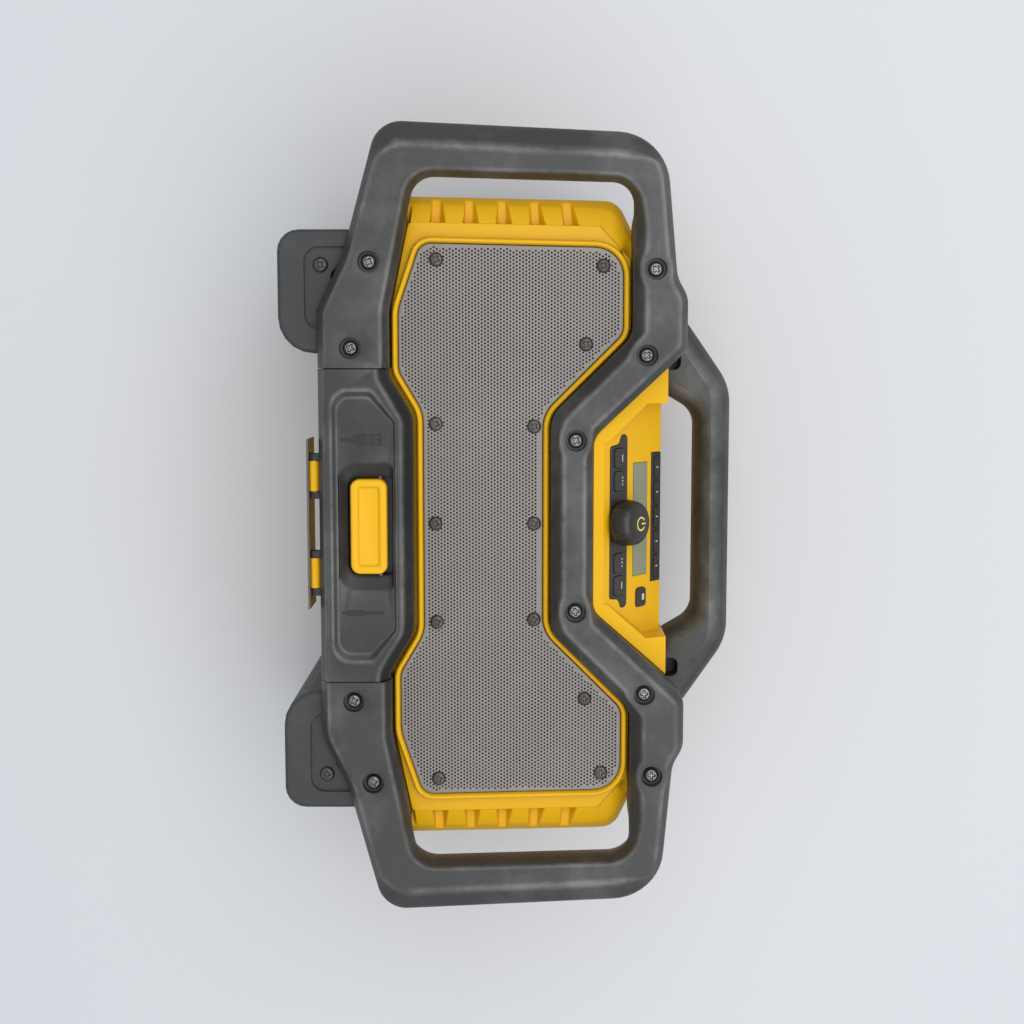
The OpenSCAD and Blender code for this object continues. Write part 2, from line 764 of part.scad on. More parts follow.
// Torsion spring round the latch pin: a helix of round wire
spring_turns = 6;
spring_wire_r = 0.5;
spring_coil_r = latch_pin_r + spring_wire_r + 0.25;
spring_pitch = 2.2;
spring_rings = 8;
spring_sides = 6;
function spring_ring(i) =
    let (a = 360 * i / spring_rings, x = (i / spring_rings - spring_turns / 2) * spring_pitch)
    [for (s = [0:spring_sides - 1])
        let (b = 360 * s / spring_sides, r = spring_coil_r + spring_wire_r * cos(b))
        [x - spring_wire_r * sin(b), latch_y + r * cos(a), latch_z + r * sin(a)]];
module latch_spring() color(steel) loft([for (i = [0:spring_turns * spring_rings]) spring_ring(i)]);

module compartment_box() color(black) {
    y0 = y_seat;
    difference() {
        box(-bay_half + gap, bay_half - gap, y0, y_bay, bay_low + gap, bay_high - gap);
        box(-bay_half + gap + bay_wall, bay_half - gap - bay_wall, y0 - over, y_bay - bay_wall,
            bay_low + gap + bay_wall, bay_high - gap - bay_wall);
        box(usb_x - usb[0] / 2 - gap, usb_x + usb[0] / 2 + gap, y_bay - bay_wall - over, y_bay + over,
            socket_z - usb[1] / 2 - gap, socket_z + usb[1] / 2 + gap);
        rod_y(aux_x, socket_z, aux_r + gap, y_bay - bay_wall - over, y_bay + over);
    }
}

// Sockets in the compartment's back wall
socket_z = (bay_low + bay_high) / 2;
usb = [15, 7.4];
usb_x = -30;
aux_x = 30;
aux_r = 4.5;
socket_depth = 14;
module usb_socket() color(steel) difference() {
    box(usb_x - usb[0] / 2, usb_x + usb[0] / 2, y_bay - bay_wall - 0.5, y_bay + socket_depth,
        socket_z - usb[1] / 2, socket_z + usb[1] / 2);
    box(usb_x - usb[0] / 2 + 0.6, usb_x + usb[0] / 2 - 0.6,
        y_bay - bay_wall - over, y_bay + socket_depth - 2,
        socket_z - usb[1] / 2 + 0.6, socket_z + usb[1] / 2 - 0.6);
}
module aux_socket() color(black) difference() {
    rod_y(aux_x, socket_z, aux_r, y_bay - bay_wall - 0.8, y_bay + socket_depth);
    rod_y(aux_x, socket_z, 1.8, y_bay - bay_wall - over, y_bay + socket_depth - 2);
}

// Control panel: local x across, y up the slope, z out of the panel
panel_y = y_front + 17;
panel_z = dip_z + 8.6;
panel_len = 53;
cheek_h = 1.7;
y_panel_front = y_front + 11;
y_panel_back = y_front + 72;
tray_top = panel_z + panel_len * sin(panel_tilt);
panel_top = tray_top + cheek_h;
floor_t = 3.5;
tray_low = 46;
tray_high = 67.5;
tail_half = tray_high + 2;
tray_rise = (frame_top + shoulder_rise - dip_z) / (shoulder_in - dip_half);
tray_turn = panel_z + (tray_high - tray_low) * tray_rise;
cut = 100;
module on_panel() translate([0, panel_y, panel_z]) rotate([panel_tilt, 0, 0]) children();

// Places on the panel
knob_t = 11;
strip_t = [2, 19];
lcd_t = [25, 39.5];
preset_t = [43.2, 53];
preset_half = 38.2;
preset_n = 5;
preset_pitch = 14.6;
board_z = -9;
board_t = 1.6;
board_post_r = 2.5;
board_post_at = [[40, 22.5], [43, 49]];
board_shape = [[-36, 8], [36, 8], [52, 30], [52, 54], [-52, 54], [-52, 30]];
key_low = board_z + gap + key_travel;
key_proud = 1.1;
pair_at = [46, 32.9];
pair_size = [10.8, 9];
low_key_t = (strip_t[0] + strip_t[1]) / 2;
low_key = [11, 9.5];
inner_key_x = 23.5;
outer_key_x = 36.6;
preset_key = [12.6, 4.6];
plate_t = 1.5;
plate_proud = 0.3;
strip_shape = round_ring(both([
    [43.6, strip_t[0], 2],
    [44.6, low_key_t, 3],
    [50, low_key_t + 2.6, 2.5],
    [50, strip_t[1], 3]]));
shaft_r = 3;

module key_hole(at, size, r) translate([at.x, at.y, -cut / 4]) linear_extrude(cut / 2)
    pad(size[0] + 2 * gap, size[1] + 2 * gap, r + gap);

module control_panel() color(yellow) {
    lean = 64;
    difference() {
        slab(y_panel_front, y_panel_back) polygon(shift_path(dip_edge, -gap));
        translate([0, y_panel_front, dip_z]) rotate([lean, 0, 0]) translate([-half, -cut, 0])
            cube([cage_w, 2 * cut, cut]);
        box(-half, half, y_front, y_rear, panel_top, panel_top + cut);
        box(-tray_high, tray_high, y_front, y_rear, tray_top, panel_top + over);
        mirror_x() box(tail_half, half, handle_y0 - 2 * gap, y_rear, 0, panel_top + over);
        intersection() {
            slab(y_front, y_panel_back + over) polygon([
                [-tray_low, panel_z - 6], [tray_low, panel_z - 6], [tray_low, panel_z],
                [tray_high, tray_turn], [tray_high, panel_top + over], [-tray_high, panel_top + over],
                [-tray_high, tray_turn], [-tray_low, panel_z]]);
            on_panel() translate([-half, -cut, 0]) cube([cage_w, 2 * cut, cut]);
        }
        difference() {
            slab(y_panel_front + 12, y_panel_back - floor_t) polygon(shift_path(dip_edge, -gap - floor_t));
            on_panel() translate([-half, -cut, -floor_t]) cube([cage_w, 3 * cut, cut]);
            box(-half, half, y_front, y_rear, tray_top - floor_t, panel_top + cut);
            mirror_x() box(tail_half - floor_t, half, y_front, y_rear, 0, panel_top);
        }
        box(-dip_half + 12, dip_half - 12, y_wall + 2, y_panel_back - floor_t, dip_z - over, dip_z + 12);
        on_panel() {
            translate([0, 0, -plate_t]) linear_extrude(20) polygon(strip_shape);
            translate([-preset_half, preset_t[0], -plate_t])
                cube([2 * preset_half, preset_t[1] - preset_t[0] + 2 * over, cut]);
            translate([0, (lcd_t[0] + lcd_t[1]) / 2, -plate_t]) linear_extrude(20)
                square([2 * lcd_half, lcd_t[1] - lcd_t[0]], center = true);
            translate([0, (lcd_t[0] + lcd_t[1]) / 2, -20]) linear_extrude(40)
                square([2 * lcd_half - 6, lcd_t[1] - lcd_t[0] - 4], center = true);
            key_holes();
        }
    }
    on_panel() mirror_x() for (p = board_post_at) translate([p.x, p.y, board_z])
        cylinder(r = board_post_r, h = -board_z - floor_t + 0.5);
}

// Openings for the keys and the knob's shaft
module key_holes() {
    for (x = [-outer_key_x, -inner_key_x, inner_key_x, outer_key_x]) key_hole([x, low_key_t], low_key, 2);
    for (i = [0:preset_n - 1]) key_hole(preset_at(i), preset_key, 1);
    key_hole(pair_at, pair_size, 2);
    translate([0, knob_t, -20]) cylinder(r = shaft_r + 0.6, h = 40);
}
function preset_at(i) = [(i - (preset_n - 1) / 2) * preset_pitch, (preset_t[0] + preset_t[1]) / 2];

module lower_key_strip() color("#33322f") on_panel() difference() {
    translate([0, 0, -plate_t]) linear_extrude(plate_t + plate_proud) polygon(shift_ring(strip_shape, gap));
    key_holes();
}

module preset_strip() color("#33322f") on_panel() difference() {
    translate([0, (preset_t[0] + preset_t[1]) / 2, -plate_t]) linear_extrude(plate_t + plate_proud)
        square([2 * (preset_half - gap), preset_t[1] - preset_t[0] - 2 * gap], center = true);
    key_holes();
}

module lcd_lens() color("#8f9a86") on_panel()
    translate([0, (lcd_t[0] + lcd_t[1]) / 2, -plate_t]) linear_extrude(plate_t + 0.2)
        square([2 * (lcd_half - gap), lcd_t[1] - lcd_t[0] - 2 * gap], center = true);

module lcd_module() color(grey) on_panel()
    translate([0, (lcd_t[0] + lcd_t[1]) / 2, board_z]) linear_extrude(-board_z - floor_t - gap)
        square([2 * lcd_half + 2, lcd_t[1] - lcd_t[0] - 1], center = true);

// Knob: a revolved cap with a rounded shoulder and a bore for the shaft
knob_low = plate_proud + 2.7;
knob_round = 4;
shaft_top = knob_low + knob_h - knob_round;
shaft_low = -6;
module volume_knob() color("#2c2a27") on_panel() translate([0, knob_t, 0]) rotate_extrude()
    difference() {
        union() {
            translate([0, knob_low]) square([knob_d / 2, knob_h - knob_round]);
            translate([0, knob_low]) square([knob_d / 2 - knob_round, knob_h]);
            intersection() {
                translate([knob_d / 2 - knob_round, knob_low + knob_h - knob_round]) circle(knob_round);
                translate([0, knob_low]) square([knob_d, knob_h + over]);
            }
        }
        translate([-over, knob_low - over])
            square([shaft_r + run_gap + over, shaft_top - knob_low + over + gap]);
    }

module encoder_shaft() color(steel) on_panel() translate([0, knob_t, shaft_low])
    cylinder(r = shaft_r, h = shaft_top - shaft_low);

module encoder_body() color(steel) on_panel() difference() {
    translate([-6, knob_t - 6, board_z]) cube([12, 12, -board_z - floor_t - gap]);
    translate([0, knob_t, -8]) cylinder(r = shaft_r + run_gap, h = 20);
}

module key_board() color(board_green) on_panel()
    translate([0, 0, board_z - board_t]) linear_extrude(board_t) polygon(board_shape);

// A key with its stem and the flange that keeps it under the panel
module key(at, size, r) on_panel() translate([at.x, at.y, 0]) {
    translate([0, 0, key_low]) linear_extrude(key_proud - key_low) pad(size[0], size[1], r);
    translate([0, 0, -floor_t - gap - 1.2]) linear_extrude(1.2) pad(size[0] + 1.6, size[1] + 1.6, r + 0.8);
}
module mute_key() color(black) key([-outer_key_x, low_key_t], low_key, 2);
module seek_back_key() color(black) key([-inner_key_x, low_key_t], low_key, 2);
module seek_forward_key() color(black) key([inner_key_x, low_key_t], low_key, 2);
module mode_key() color(black) key([outer_key_x, low_key_t], low_key, 2);
module preset_key(i) color(black) key(preset_at(i - 1), preset_key, 1);
module preset_key_1() preset_key(1);
module preset_key_2() preset_key(2);
module preset_key_3() preset_key(3);
module preset_key_4() preset_key(4);
module preset_key_5() preset_key(5);
module pair_key() color(black) key(pair_at, pair_size, 2);

// Woofers: revolved about their axes, local z pointing forwards from the back of the baffle
flange_r = woofer_r + 4.5;
magnet_r = 27;
module at_woofer(side)
    translate([side * woofer_x, y_wall + baffle_t, woofer_z]) rotate([90, 0, 0]) children();

module woofer_basket(side) color("#4a4a48") at_woofer(side) difference() {
    rotate_extrude() polygon([
        [woofer_r - 1, -0.05], [flange_r, -0.05], [flange_r, -2.5], [woofer_r, -2.5], [24, -26], [9, -26],
        [9, -24], [22.8, -24], [woofer_r - 2, -2.5], [woofer_r - 1, -0.9]]);
    for (a = [45:90:315]) rotate([0, 0, a]) translate([woofer_r + 2.2, 0, -5]) cylinder(r = 1.1, h = 10);
}
module woofer_magnet(side) color(grey) at_woofer(side) translate([0, 0, -44]) difference() {
    cylinder(r = magnet_r, h = 18);
    translate([0, 0, -over]) cylinder(r = 8, h = 20);
}
module woofer_cone(side) color("#2e2d2c") at_woofer(side) rotate_extrude() polygon([
    [0, -9], [4, -9.3], [8, -10.6], [10, -12],
    [woofer_r - 7.5, -0.9], [woofer_r - 7.5, -1.9], [10.5, -13.2],
    [10.5, -22], [9.5, -22], [9.5, -12.8], [8, -11.8], [4, -10.5], [0, -10.2]]);
module woofer_surround(side) color("#1f1f1f") at_woofer(side) rotate_extrude() difference() {
    union() {
        translate([woofer_r - 4.5, 0]) circle(3.4);
        translate([woofer_r - 9.5, -0.8]) square([2.5, 0.8]);
    }
    translate([woofer_r - 4.5, 0]) circle(2.6);
    translate([0, -10]) square([woofer_r + 10, 10 - 0.8]);
}
module woofer_basket_left() woofer_basket(-1);
module woofer_basket_right() woofer_basket(1);
module woofer_magnet_left() woofer_magnet(-1);
module woofer_magnet_right() woofer_magnet(1);
module woofer_cone_left() woofer_cone(-1);
module woofer_cone_right() woofer_cone(1);
module woofer_surround_left() woofer_surround(-1);
module woofer_surround_right() woofer_surround(1);

// Boards
board_y = y_split - 12;
board_half = 75;
board_up = [battery_z[0] + 4, battery_z[1] + 18];
post_x = 34;
post_inset = 12;
post_r = 3.5;
module main_board() color(board_green)
    box(-board_half, board_half, board_y - board_t, board_y, board_up[0], board_up[1]);
module heat_sink() color(steel) {
    y1 = board_y - board_t;
    plate = 4;
    fin = [2.2, 14];
    fins = 8;
    sink_half = 30;
    sink_z = [battery_mid - 10, battery_mid + 40];
    box(-sink_half, sink_half, y1 - plate, y1, sink_z[0], sink_z[1]);
    for (i = [0:fins - 1])
        translate([-sink_half + i * (2 * sink_half - fin[0]) / (fins - 1), y1 - plate - fin[1], sink_z[0]])
            cube([fin[0], fin[1] + over, sink_z[1] - sink_z[0]]);
}

module battery_bay() color(black) {
    t = battery_wall;
    rail = [30, 5];
    y_rail = y_battery + 20;
    difference() {
        union() {
            box(-battery_half, battery_half, y_battery, y_back - 0.4, battery_z[0], battery_z[1]);
            for (z = [battery_z[0] + post_inset, battery_z[1] - post_inset]) mirror_x()
                rod_y(post_x, z, post_r, board_y, y_battery + over);
        }
        box(-battery_half + t, battery_half - t, y_battery + t, y_rear, battery_z[0] + t, battery_z[1] - t);
    }
    mirror_x() box(rail[0], battery_half - t + 0.5, y_rail, y_rail + rail[1],
        battery_z[0] + t - 0.5, battery_z[1] - t + 0.5);
}

module battery_terminals() color("#c9a04a") {
    pitch = 9;
    blade = [1, 12, 16];
    for (i = [-2:2])
        translate([i * pitch - blade[0] / 2, y_battery + battery_wall, battery_mid - 14]) cube(blade);
}

module power_inlet() color(black) difference() {
    rod_y(inlet_at.x, inlet_at.y, inlet_r, y_shoulder - 2, y_back + 0.3);
    rod_y(inlet_at.x, inlet_at.y, 3.2, y_shoulder + 4, y_back + over);
    rod_y(inlet_at.x, inlet_at.y, 4.6, y_back - 2, y_back + over);
}

module frame_screws() color(steel) for (p = frame_screw_at) mirror_x()
    pan_screw(p.x, y_front + screw_recess - screw_head, p.y, screw_head_r, screw_head, screw_r,
        frame_depth - screw_recess - 2, 1);
module grille_screws() color(steel) for (p = grille_screws_at)
    pan_screw(p.x, y_grille - grille_head[1], p.y, grille_head[0], grille_head[1], 1.3, 12, 1);
module foot_screws() color(steel) mirror_x() for (end = [-1, 1])
    pan_screw(foot_screw.x, end * foot_y, foot_screw.y, screw_head_r, foot_head, screw_r, 12, end);
module bumper_screws() color(steel) for (p = bumper_screw_at) mirror_x()
    pan_screw(p.x, y_rear - screw_recess + screw_head, p.y, screw_head_r, screw_head, screw_r,
        bumper_depth - screw_recess - 2, -1);
module woofer_screws() color(steel) for (side = [-1, 1]) at_woofer(side) for (a = [45:90:315])
    rotate([0, 0, a]) translate([woofer_r + 2.2, 0, -4.5]) {
        cylinder(r = 2, h = 2);
        cylinder(r = 1, h = 4.5);
    }

front_housing();
rear_housing();
grille();
speaker_baffle();
front_frame();
rear_bumper();
carry_handle();
foot_left();
foot_right();
door();
door_gasket();
hinge_leaf();
hinge_pins();
latch();
latch_pin();
latch_spring();
compartment_box();
usb_socket();
aux_socket();
control_panel();
lower_key_strip();
preset_strip();
lcd_lens();
lcd_module();
volume_knob();
encoder_shaft();
encoder_body();
key_board();
mute_key();
seek_back_key();
seek_forward_key();
mode_key();
preset_key_1();
preset_key_2();
preset_key_3();
preset_key_4();
preset_key_5();
pair_key();
woofer_basket_left();
woofer_basket_right();
woofer_magnet_left();
woofer_magnet_right();
woofer_cone_left();
woofer_cone_right();
woofer_surround_left();
woofer_surround_right();
main_board();
heat_sink();
battery_bay();
battery_terminals();
power_inlet();
frame_screws();
grille_screws();
foot_screws();
bumper_screws();
woofer_screws();
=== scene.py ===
"""Looks of a rugged bluetooth speaker in a roll cage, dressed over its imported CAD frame."""

import json
import logging
import math
from dataclasses import dataclass, field, replace
from enum import Enum
from typing import Sequence

import bmesh
import bpy
import numpy as np
from mathutils import Matrix, Vector
from mathutils.geometry import delaunay_2d_cdt


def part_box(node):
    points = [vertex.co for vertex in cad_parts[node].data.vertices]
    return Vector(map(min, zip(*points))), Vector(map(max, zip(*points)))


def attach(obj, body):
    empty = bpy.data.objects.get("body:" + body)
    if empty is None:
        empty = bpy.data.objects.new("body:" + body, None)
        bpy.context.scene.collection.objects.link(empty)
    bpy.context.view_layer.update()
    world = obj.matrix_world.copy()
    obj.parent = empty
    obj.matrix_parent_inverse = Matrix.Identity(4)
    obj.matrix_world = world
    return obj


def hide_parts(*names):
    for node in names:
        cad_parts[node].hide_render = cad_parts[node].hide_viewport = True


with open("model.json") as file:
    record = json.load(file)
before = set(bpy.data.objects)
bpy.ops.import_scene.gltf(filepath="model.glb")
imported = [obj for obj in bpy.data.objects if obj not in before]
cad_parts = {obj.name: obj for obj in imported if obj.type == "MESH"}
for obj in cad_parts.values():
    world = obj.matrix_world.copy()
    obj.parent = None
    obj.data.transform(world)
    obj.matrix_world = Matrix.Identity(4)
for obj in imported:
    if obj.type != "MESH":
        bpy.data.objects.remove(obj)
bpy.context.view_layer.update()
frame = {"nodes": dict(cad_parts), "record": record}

LOG = logging.getLogger("speaker")
MM = 0.001
CORNER_STEPS = 10
FILL_INSIDE = 1
GOLDEN_ANGLE = 2.399963
HINGE = (-86.0, 19.5)
KNUCKLE_RADIUS = 2.7
HEAD_RADIUS = 4.3
Array = np.ndarray
Place = tuple[float, float]


class Body(Enum):
    """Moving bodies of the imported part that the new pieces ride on."""

    HOUSING = "housing"
    DOOR = "door"
    LATCH = "latch"
    KNOB = "volume_knob"


# Outlines


@dataclass(frozen=True)
class Corner:
    """A corner of a front-view outline, in millimetres, rounded with radius r."""

    x: float
    z: float
    r: float = 0.0


PANEL_DIP = (Corner(98, 228), Corner(49, 176, 12), Corner(-49, 176, 12), Corner(-98, 228))


def unit(v: Array) -> Array:
    """Scales each row vector to length one.

    Args:
        v: Vectors, one a row.

    Returns:
        The unit vectors.
    """
    return v / np.maximum(np.linalg.norm(v, axis=-1, keepdims=True), 1e-12)


def smooth(value: Array, low: float, high: float) -> Array:
    """Rises from 0 at low to 1 at high along 3t^2 - 2t^3.

    Args:
        value: Where the step is read.
        low: Value at which the step starts.
        high: Value at which it ends.

    Returns:
        The step's height, 0 to 1.
    """
    t = np.clip((value - low) / (high - low), 0.0, 1.0)
    return t * t * (3.0 - 2.0 * t)


def mirrored(half: Sequence[Corner]) -> list[Corner]:
    """Follows the right half of an outline by its mirror image, taken backwards.

    Args:
        half: Corners of the right half, running anticlockwise.

    Returns:
        Corners of the whole outline.
    """
    return [*half, *(Corner(-c.x, c.z, c.r) for c in reversed(half))]


def both(places: Sequence[Place]) -> list[Place]:
    """Repeats each place on the other half.

    Args:
        places: Places on the right half, as x and z.

    Returns:
        The places of both halves, pair by pair.
    """
    return [(side * x, z) for x, z in places for side in (1, -1)]


def spans(a: float, b: float) -> list[list[float]]:
    """Reach across of a form on the right half and of its mirror image.

    Args:
        a: One end on the right half.
        b: The other end.

    Returns:
        Left and right end, first of the right form and then of the left one.
    """
    return [sorted((side * a, side * b)) for side in (1, -1)]


def rounded(corners: Sequence[Corner], closed: bool = False, steps: int = CORNER_STEPS) -> Array:
    """Replaces each corner by an arc that is tangent to both of its sides.

    Args:
        corners: Corners of the outline.
        closed: Whether the last corner joins the first.
        steps: Stretches in each arc.

    Returns:
        Points (n, 2) of the outline.
    """
    points = np.array([(c.x, c.z) for c in corners])
    count = len(corners)
    made = []
    for i, c in enumerate(corners):
        if c.r <= 0 or (not closed and i in (0, count - 1)):
            made.append(points[i : i + 1])
            continue
        p = points[i]
        u, v = unit(points[i - 1] - p), unit(points[(i + 1) % count] - p)
        half = math.acos(float(np.clip(u @ v, -1, 1))) / 2
        centre = p + unit(u + v) * c.r / math.sin(half)
        start, end = p + u * c.r / math.tan(half) - centre, p + v * c.r / math.tan(half) - centre
        turn = math.atan2(start[0] * end[1] - start[1] * end[0], float(start @ end))
        angle = math.atan2(start[1], start[0]) + turn * np.linspace(0, 1, steps + 1)
        made.append(centre + c.r * np.stack([np.cos(angle), np.sin(angle)], 1))
    return np.concatenate(made)


def offset(path: Array, distance: Array | float, closed: bool = False) -> Array:
    """Moves an outline to its left, which is inwards on one that runs anticlockwise.

    Each point moves along the mitre of its two sides, by distance over the cosine of half the turn.

    Args:
        path: Points (n, 2).
        distance: How far, the same for all points or one value each.
        closed: Whether the last point joins the first.

    Returns:
        The moved points.
    """
    before, after = unit(path - np.roll(path, 1, 0)), unit(np.roll(path, -1, 0) - path)
    if not closed:
        before[0], after[-1] = after[0], before[-1]
    along = unit(before + after)
    normal = np.stack([-along[:, 1], along[:, 0]], 1)
    return path + normal * (distance / np.sum(along * after, 1))[:, None]


def densify(path: Array, step: float, closed: bool = False, like: Array | None = None) -> Array:
    """Adds points on the long sides of an outline, so that none is longer than step.

    Args:
        path: Points (n, k).
        step: Longest side allowed.
        closed: Whether the last point joins the first.
        like: Outline with as many points whose side lengths decide how many points are added.

    Returns:
        The outline with its added points.
    """
    ends = np.roll(path, -1, 0) if closed else path[1:]
    starts = path if closed else path[:-1]
    ruler = path if like is None else like
    sides = (np.roll(ruler, -1, 0) if closed else ruler[1:]) - (ruler if closed else ruler[:-1])
    parts = np.maximum(np.ceil(np.linalg.norm(sides, axis=1) / step), 1).astype(int)
    which = np.repeat(np.arange(len(parts)), parts)
    first = np.repeat(np.cumsum(parts) - parts, parts)
    t = ((np.arange(len(which)) - first) / parts[which])[:, None]
    made = starts[which] * (1 - t) + ends[which] * t
    return made if closed else np.concatenate([made, path[-1:]])


def lift(path: Array, y: Array | float) -> Array:
    """Places a front-view outline at depth y.

    Args:
        path: Points (n, 2) as x and z.
        y: Depth, the same for all points or one value each.

    Returns:
        Points (n, 3).
    """
    depth = np.broadcast_to(np.asarray(y, float), path.shape[:1])
    return np.stack([path[:, 0], depth, path[:, 1]], 1)


def circle(x: float, z: float, r: float, count: int = 40) -> Array:
    """Points round a circle.

    Args:
        x: Centre across.
        z: Centre up.
        r: Radius.
        count: Number of points.

    Returns:
        Points (count, 2).
    """
    a = np.linspace(0, 2 * np.pi, count, endpoint=False)
    return np.stack([x + r * np.cos(a), z + r * np.sin(a)], 1)


def pad(x0: float, x1: float, z0: float, z1: float, r: float, steps: int = 8) -> Array:
    """A rectangle with rounded corners.

    Args:
        x0: Left edge.
        x1: Right edge.
        z0: Lower edge.
        z1: Upper edge.
        r: Corner radius.
        steps: Stretches in each corner.

    Returns:
        Points (n, 2), anticlockwise.
    """
    box = [Corner(x0, z0, r), Corner(x1, z0, r), Corner(x1, z1, r), Corner(x0, z1, r)]
    return rounded(box, True, steps)


def inside(points: Array, a: Array, b: Array) -> Array:
    """Even-odd test of points against the sides of closed outlines.

    Args:
        points: Points (n, 2).
        a: Start of each side (k, 2).
        b: End of each side (k, 2).

    Returns:
        Mask (n,) that is true inside.
    """
    px, pz = points[:, :1], points[:, 1:]
    level = (a[:, 1] > pz) != (b[:, 1] > pz)
    rise = np.where(b[:, 1] == a[:, 1], 1e-9, b[:, 1] - a[:, 1])
    cross = a[:, 0] + (pz - a[:, 1]) * (b[:, 0] - a[:, 0]) / rise
    return np.sum(level & (px < cross), axis=1) % 2 == 1


# Finishes


class Graph:
    """Adds nodes to a node tree and joins them."""

    def __init__(self, tree: bpy.types.NodeTree) -> None:
        """Takes the tree to add to.

        Args:
            tree: Material or group tree.
        """
        self.tree = tree

    def node(self, kind: str, values: dict | None = None, **settings) -> bpy.types.Node:
        """Adds a node.

        Args:
            kind: Node type after ShaderNode.
            values: Input socket name or number to a value, or to a socket that is linked in.
            settings: Attributes of the node.

        Returns:
            The node.
        """
        made = self.tree.nodes.new(kind if kind.startswith("Node") else "ShaderNode" + kind)
        for name, value in settings.items():
            setattr(made, name, value)
        for key, value in (values or {}).items():
            if isinstance(value, bpy.types.NodeSocket):
                self.tree.links.new(value, made.inputs[key])
            else:
                made.inputs[key].default_value = value
        return made

    def ramp(self, value: bpy.types.NodeSocket, low: float, high: float) -> bpy.types.NodeSocket:
        """Maps a value to 0 to 1 between two limits.

        Args:
            value: Socket to map.
            low: Value that gives 0.
            high: Value that gives 1.

        Returns:
            The mapped socket.
        """
        return self.node("MapRange", {"Value": value, "From Min": low, "From Max": high}).outputs[0]

    def math(
        self, operation: str, a: bpy.types.NodeSocket | float, b: bpy.types.NodeSocket | float
    ) -> bpy.types.NodeSocket:
        """Joins two values.

        Args:
            operation: Name of the operation.
            a: Socket or number.
            b: Socket or number.

        Returns:
            The result's socket.
        """
        return self.node("Math", {0: a, 1: b}, operation=operation).outputs[0]


def wear_group() -> bpy.types.NodeTree:
    """Makes the group that all moulded finishes share.

    Patches of rub come from broad noise, scratches from noise stretched along two directions,
    and the grain of the mould from fine noise.

    Returns:
        The group, with outputs Scuff, Patch and Grain.
    """
    tree = bpy.data.node_groups.new("wear", "ShaderNodeTree")
    for name in ("Scuff", "Patch", "Grain"):
        tree.interface.new_socket(name=name, in_out="OUTPUT", socket_type="NodeSocketFloat")
    g = Graph(tree)
    where = g.node("TexCoord").outputs["Object"]
    broad = g.node("TexNoise", {"Vector": where, "Scale": 24.0, "Detail": 6.0, "Roughness": 0.68})
    patch = g.ramp(broad.outputs[0], 0.48, 0.74)
    streaks = []
    for turn, stretch in ((0.5, (1500.0, 60.0, 50.0)), (-0.9, (45.0, 60.0, 1300.0))):
        spun = g.node("Mapping", {"Vector": where, "Rotation": (0.0, turn, 0.0), "Scale": stretch})
        noise = g.node("TexNoise", {"Vector": spun.outputs[0], "Scale": 1.0, "Detail": 2.0})
        streaks.append(g.ramp(noise.outputs[0], 0.70, 0.78))
    scratch = g.math("MAXIMUM", streaks[0], streaks[1])
    marks = g.math("MULTIPLY", scratch, g.ramp(broad.outputs[0], 0.42, 0.6))
    fine = g.node("TexNoise", {"Vector": where, "Scale": 1900.0, "Detail": 2.0})
    speck = g.math("MULTIPLY", g.ramp(fine.outputs[0], 0.45, 0.75), 0.35)
    patch = g.math("MULTIPLY", patch, g.math("ADD", speck, 0.45))
    rub = g.math("ADD", patch, g.math("MULTIPLY", marks, 0.8))
    out = g.node("NodeGroupOutput")
    tree.links.new(rub, out.inputs["Scuff"])
    tree.links.new(g.ramp(broad.outputs[0], 0.3, 0.65), out.inputs["Patch"])
    tree.links.new(fine.outputs[0], out.inputs["Grain"])
    return tree


@dataclass(frozen=True)
class Finish:
    """A procedural finish: colour, gloss, mould grain, rub marks and softened edges."""

    name: str
    color: tuple[float, float, float]
    roughness: float = 0.5
    metallic: float = 0.0
    rubbed: tuple[float, float, float] | None = None
    scuff: float = 0.0
    worn: float = 0.0
    grain: float = 0.0
    edge: float = 0.0
    coat: float = 0.0
    specular: float = 0.5

    def material(self) -> bpy.types.Material:
        """Makes the material, or finds it if it was made before.

        Returns:
            The material.
        """
        title = f"{self.name}_finish"
        made = bpy.data.materials.get(title)
        if made is not None:
            return made
        made = bpy.data.materials.new(title)
        made.use_nodes = True
        g = Graph(made.node_tree)
        shader = made.node_tree.nodes["Principled BSDF"]
        shader.inputs["Metallic"].default_value = self.metallic
        shader.inputs["Coat Weight"].default_value = self.coat
        shader.inputs["Specular IOR Level"].default_value = self.specular
        group = bpy.data.node_groups.get("wear") or wear_group()
        wear = g.node("Group", node_tree=group)
        edge = g.node("Attribute", attribute_name="edge").outputs["Fac"]
        edge = g.math("MULTIPLY", g.math("MULTIPLY", edge, wear.outputs["Patch"]), self.worn)
        scuff = g.math("MULTIPLY", wear.outputs["Scuff"], self.scuff)
        amount = g.node("Math", {0: scuff, 1: edge}, operation="ADD", use_clamp=True)
        rubbed = self.rubbed or self.color
        tint = g.node(
            "MixRGB",
            {"Fac": amount.outputs[0], "Color1": (*self.color, 1.0), "Color2": (*rubbed, 1.0)},
        )
        made.node_tree.links.new(tint.outputs[0], shader.inputs["Base Color"])
        gloss = g.math("ADD", g.math("MULTIPLY", wear.outputs["Grain"], 0.1), self.roughness - 0.05)
        made.node_tree.links.new(gloss, shader.inputs["Roughness"])
        values = {"Height": wear.outputs["Grain"], "Strength": self.grain, "Distance": 0.0002}
        if self.edge > 0:
            values["Normal"] = g.node("Bevel", {"Radius": self.edge * MM}, samples=6).outputs[0]
        bump = g.node("Bump", values)
        made.node_tree.links.new(bump.outputs[0], shader.inputs["Normal"])
        made.diffuse_color = (*self.color, 1.0)
        return made


